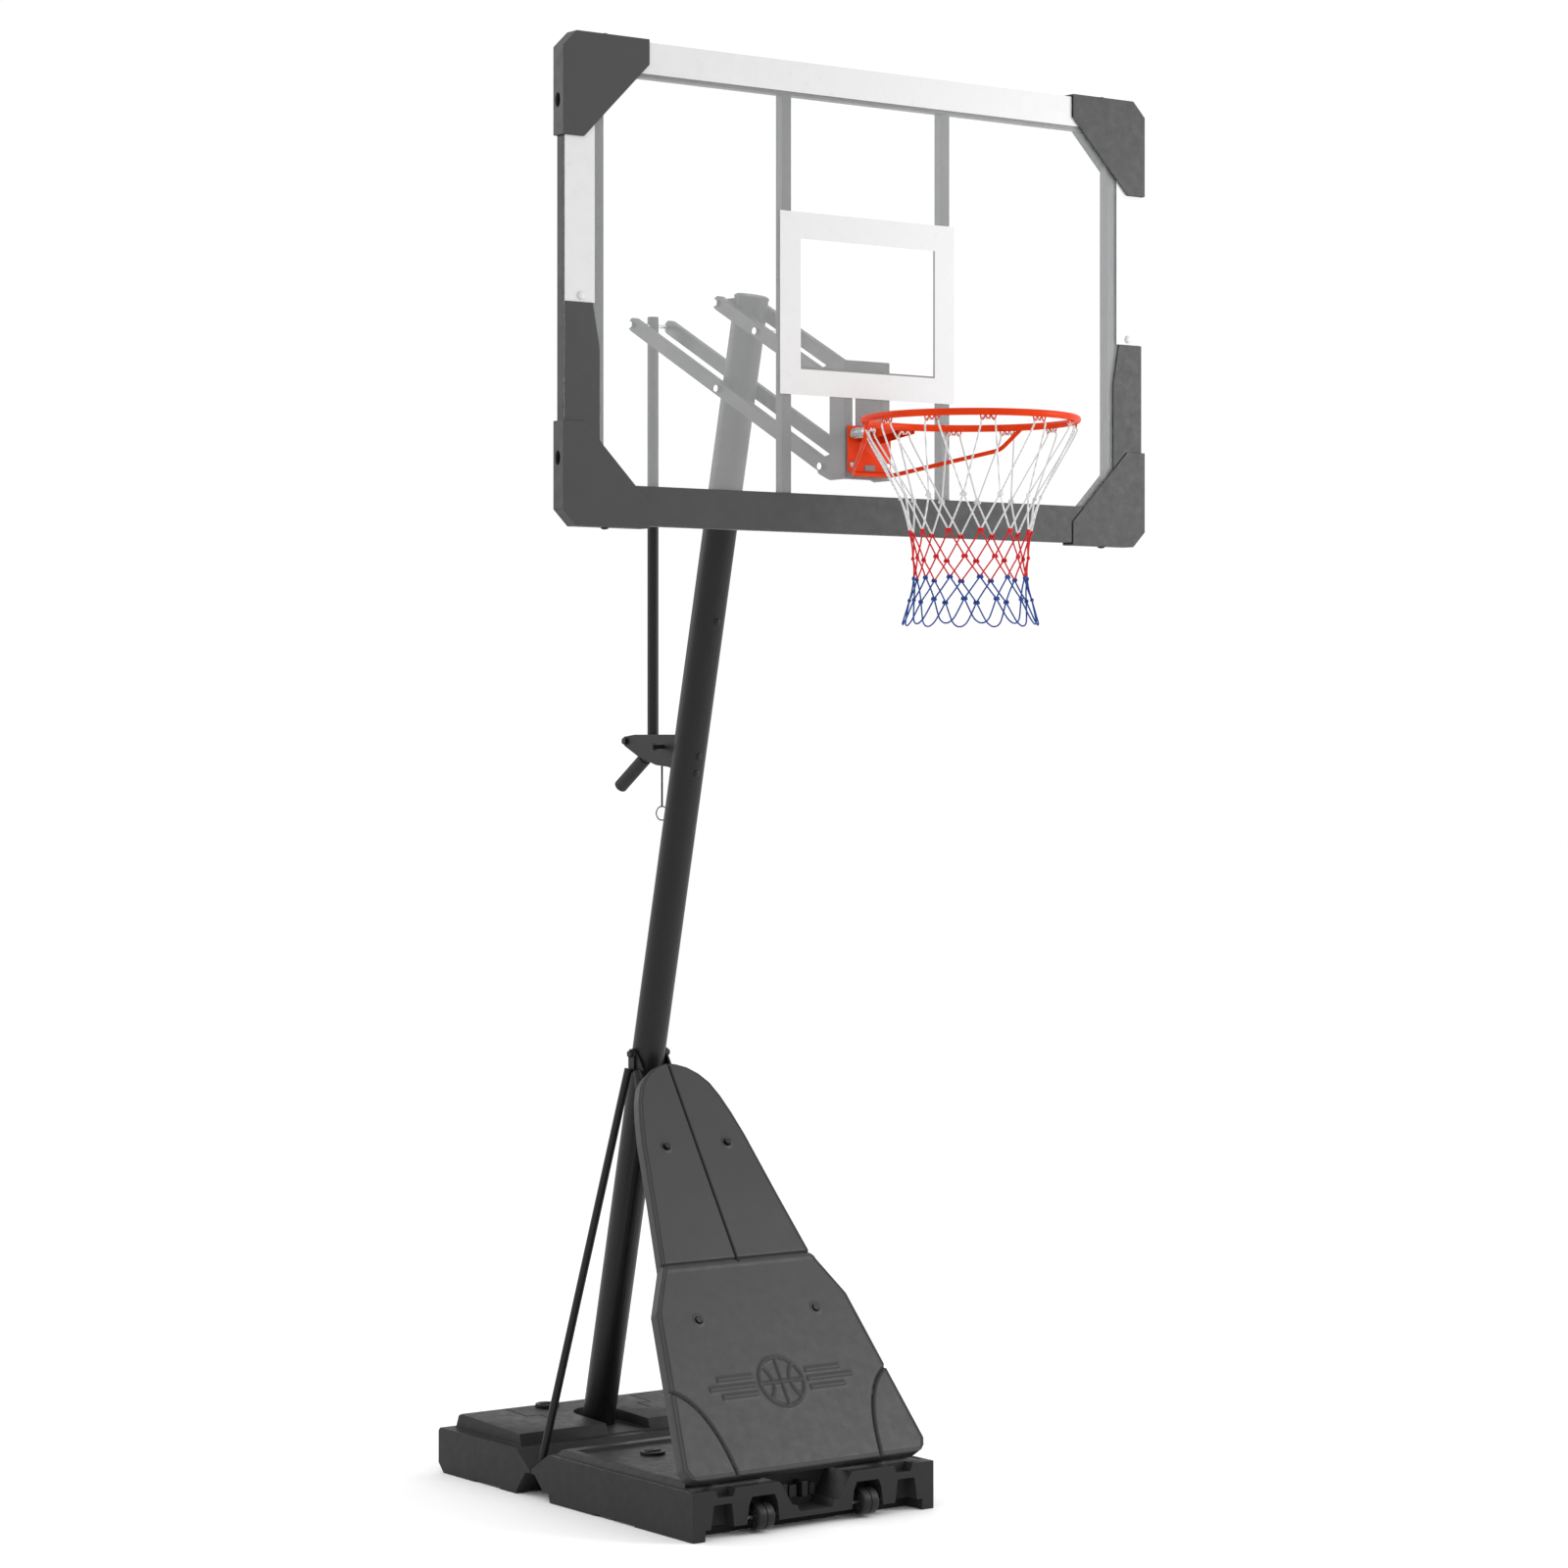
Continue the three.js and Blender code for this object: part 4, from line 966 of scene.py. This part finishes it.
def build_shield():
    """One panel: a relief on its front, a deep edge, and a recessed back."""
    across = with_edge_stops(grid_stops(-SHIELD_WIDEST, SHIELD_WIDEST, SHIELD_STEPS[0], fine_at=0))
    upward = with_edge_stops(grid_stops(SHIELD_LOW, SHIELD_HIGH, SHIELD_STEPS[1], fine_at=FOLD_MIDDLE_Z))
    places = [[(shield_half(z) * x / SHIELD_WIDEST, z) for x in across] for z in upward]
    bm = bmesh.new()
    grid = [[bm.verts.new(shield_point(x, z, shield_height(x, z))) for x, z in row] for row in places]
    for lower, upper in zip(grid, grid[1:]):
        for i in range(len(lower) - 1):
            bm.faces.new((lower[i], lower[i + 1], upper[i + 1], upper[i]))
    outline = grid_edge(places)
    inner = inset_ring(outline, SHIELD_WALL)
    rings = [grid_edge(grid)]
    for ring, depth in ((outline, SHIELD_DEPTH), (inner, SHIELD_DEPTH), (inner, SHIELD_INSIDE)):
        rings.append([bm.verts.new(shield_point(x, z, -depth)) for x, z in ring])
    for front, back in zip(rings, rings[1:]):
        add_band(bm, front, back)
    bm.faces.new(rings[-1])
    finish_piece("shield_panel", bm, "stand", "shield_plastic", replaces=["shield"],
                 smooth_angle=SHIELD_SMOOTH_ANGLE)


# ---------- small fittings ----------

def build_board_fittings():
    bm = bmesh.new()
    for x in (-SCREW_CAP_X, SCREW_CAP_X):
        add_head(bm, at(x, PRINT_Y[0], SCREW_CAP_Z), (0, -1, 0), SCREW_CAP_HEAD)
    finish_piece("board_screw_caps", bm, "board", "clear_sheet", PRINT)

    bm = bmesh.new()
    for x in (-EDGE_BOLT_X, EDGE_BOLT_X):
        add_head(bm, at(x, EDGE_BOLT_Y, EDGE_BOLT_LOW), (0, 0, -1), EDGE_BOLT_HEAD)
        add_head(bm, at(x, EDGE_BOLT_Y, EDGE_BOLT_HIGH), (0, 0, 1), EDGE_BOLT_HEAD)
    finish_piece("board_edge_bolts", bm, "board", "black_hardware")


def build_rim_fittings():
    back = PLATE_FRONT - TAG_GAP
    bm = bmesh.new()
    for x in (-PLATE_BOLT_X, PLATE_BOLT_X):
        add_head(bm, at(x, back, PLATE_BOLT_Z), (0, -1, 0), SMALL_HEAD)
    finish_piece("rim_plate_bolts", bm, "rim", "zinc_hardware")

    bm = bmesh.new()
    add_plate(bm, rectangle((-TAG_HALF, TAG_HALF), TAG_Z), back - TAG_THICKNESS, back)
    bevelled(finish_piece("rim_plate_tag", bm, "rim", "zinc_hardware", DULL_STEEL), 0.0006)


def build_pole_fittings():
    """Bolt heads at the pole's joints, front and back."""
    bm = bmesh.new()
    for z in POLE_BOLTS:
        axis = at(0, POLE_POINT[0] + (POLE_POINT[1] - z) * POLE_SLOPE, z)
        for side in (-1, 1):
            normal = Vector((0, side, POLE_SLOPE * side)).normalized()
            add_head(bm, axis + normal * POLE_BOLT_OUT * MM, normal, SMALL_HEAD)
    finish_piece("pole_bolt_heads", bm, "stand", "black_hardware")


def build_recess_ribs():
    """Bosses and ribs inside the hand recess of the front tank."""
    bm = bmesh.new()
    for x, half, top, front in RECESS_RIBS:
        add_box(bm, (x - half, front, RECESS_FLOOR), (x + half, RECESS_BACK, top))
    bevelled(finish_piece("hand_recess_ribs", bm, "stand", "tank_plastic"), 0.002)


def wheel_profile(radius, width):
    half = [(WHEEL_BORE, 0)]
    half += [(radius - depth, place) for depth, place in WHEEL_SIDE]
    half += [(radius - depth, width / 2 - place) for depth, place in WHEEL_SEAM]
    other_half = [(reach, width - place) for reach, place in reversed(half)]
    return half + other_half + half[:1]


def build_wheels():
    """Wide rollers with a seam round the middle, and spokes on their left faces."""
    for name in ("left", "right"):
        low, high = (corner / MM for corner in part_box(f"wheel_{name}"))
        width, radius = high.x - low.x, (high.z - low.z) / 2
        start = Vector((low.x, (low.y + high.y) / 2, (low.z + high.z) / 2)) * MM
        bm = bmesh.new()
        add_lathe(bm, wheel_profile(radius, width), start, Vector((1, 0, 0)), WHEEL_SIDES)
        hub = start - Vector((SPOKE_OUT * MM, 0, 0))
        for a in turns(SPOKES):
            across = Vector((0, math.cos(a), math.sin(a)))
            spoke = [hub + across * reach * MM for reach in (SPOKE_START, radius - WHEEL_SIDE[0][0])]
            add_tube(bm, spoke, SPOKE_ROD * MM)
        bmesh.ops.remove_doubles(bm, verts=bm.verts, dist=1e-6)
        finish_piece(f"roller_{name}", bm, f"{name}_wheel", "black_plastic", replaces=[f"wheel_{name}"])


def cap_ring(bm, centre, radius, toothed):
    """A ring of points; a toothed one is notched all round."""
    ring = []
    for k, a in enumerate(turns(CAP_TEETH * CAP_TOOTH_STEPS)):
        notched = toothed and k % CAP_TOOTH_STEPS < CAP_TOOTH_STEPS / 2
        r = radius - CAP_NOTCH if notched else radius
        ring.append(bm.verts.new(centre + Vector((math.cos(a), math.sin(a), 0)) * r * MM))
    return ring


def build_fill_caps():
    """Screw caps with a knurled skirt and a finger bar."""
    for name in ("front", "rear"):
        low, high = (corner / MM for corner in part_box(f"{name}_fill_cap"))
        radius = (high.x - low.x) / 2
        x, y = (low.x + high.x) / 2, (low.y + high.y) / 2 - FACE_Y / MM
        bm = bmesh.new()
        rings = [cap_ring(bm, at(x, y, low.z), radius, toothed=True)]
        for inset, drop in CAP_SECTION:
            rings.append(cap_ring(bm, at(x, y, high.z - drop), radius - inset, toothed=inset == 0))
        rings.append([bm.verts.new(at(x, y, high.z - CAP_SECTION[-1][1]))])
        bm.faces.new(rings[0])
        for lower, upper in zip(rings, rings[1:]):
            add_band(bm, lower, upper)
        bar = radius - CAP_BAR_GAP
        bar_foot = high.z - CAP_BAR_HEIGHT
        add_box(bm, (x - bar, y - CAP_BAR_HALF, bar_foot), (x + bar, y + CAP_BAR_HALF, high.z))
        finish_piece(f"{name}_cap_shell", bm, f"{name}_cap", "black_plastic", replaces=[f"{name}_fill_cap"])


# ---------- CAD nodes ----------

def finish_cad_nodes():
    """Only the shading and the finish of the nodes change: the CAD mesh keeps its points."""
    for width, nodes in REFINED.items():
        for node in nodes:
            refined(node, width)
    for node, piece in frame["nodes"].items():
        piece.data.materials.clear()
        piece.data.materials.append(MATERIALS[NODE_SLOT[node]])
        shade_smooth(piece.data)


# ---------- stage ----------

def area_light(name, place, target, size, power):
    data = bpy.data.lights.new(name, "AREA")
    data.shape = "RECTANGLE"
    data.size, data.size_y = size
    data.energy = power
    light = bpy.data.objects.new(name, data)
    light.location = place
    light.rotation_euler = (Vector(target) - Vector(place)).to_track_quat("-Z", "Y").to_euler()
    bpy.context.scene.collection.objects.link(light)


def floor_white():
    """Matt white with faint clouds."""
    material, tree, shader = new_material("floor_white")
    cloud = object_noise(tree, scale=2)
    base = colour_between(tree, cloud, (0.965, 0.965, 0.965), (0.975, 0.975, 0.975))
    tree.links.new(base, shader.inputs["Base Color"])
    shader.inputs["Roughness"].default_value = 0.9
    return material


def build_stage():
    """A white floor, an even white surround and soft lights."""
    mesh = bpy.data.meshes.new("floor")
    corners = [(x * FLOOR_REACH, y * FLOOR_REACH, 0) for x, y in ((-1, -1), (1, -1), (1, 1), (-1, 1))]
    mesh.from_pydata(corners, [], [(0, 1, 2, 3)])
    mesh.materials.append(floor_white())
    floor = bpy.data.objects.new("floor", mesh)
    bpy.context.scene.collection.objects.link(floor)

    world = bpy.data.worlds.new("studio")
    world.use_nodes = True
    background = world.node_tree.nodes["Background"]
    background.inputs["Color"].default_value = (1, 1, 1, 1)
    background.inputs["Strength"].default_value = WORLD_STRENGTH
    bpy.context.scene.world = world
    bpy.context.scene.view_settings.view_transform = "Standard"
    for light in LIGHTS:
        area_light(*light)


def build_camera():
    data = bpy.data.cameras.new("camera")
    data.lens = CAMERA_LENS
    data.sensor_width = CAMERA_SENSOR
    data.shift_y = CAMERA_SHIFT
    data.clip_end = CAMERA_CLIP
    camera = bpy.data.objects.new("camera", data)
    camera.location = at(*CAMERA_PLACE)
    camera.rotation_euler = (math.radians(90), 0, math.radians(-CAMERA_AZIMUTH))
    bpy.context.scene.collection.objects.link(camera)
    bpy.context.scene.camera = camera


build_camera()
build_stage()
build_ring()
build_hooks()
build_net()
build_springs()
build_border()
build_target()
build_shield()
build_board_fittings()
build_rim_fittings()
build_pole_fittings()
build_recess_ribs()
build_wheels()
build_fill_caps()
finish_cad_nodes()
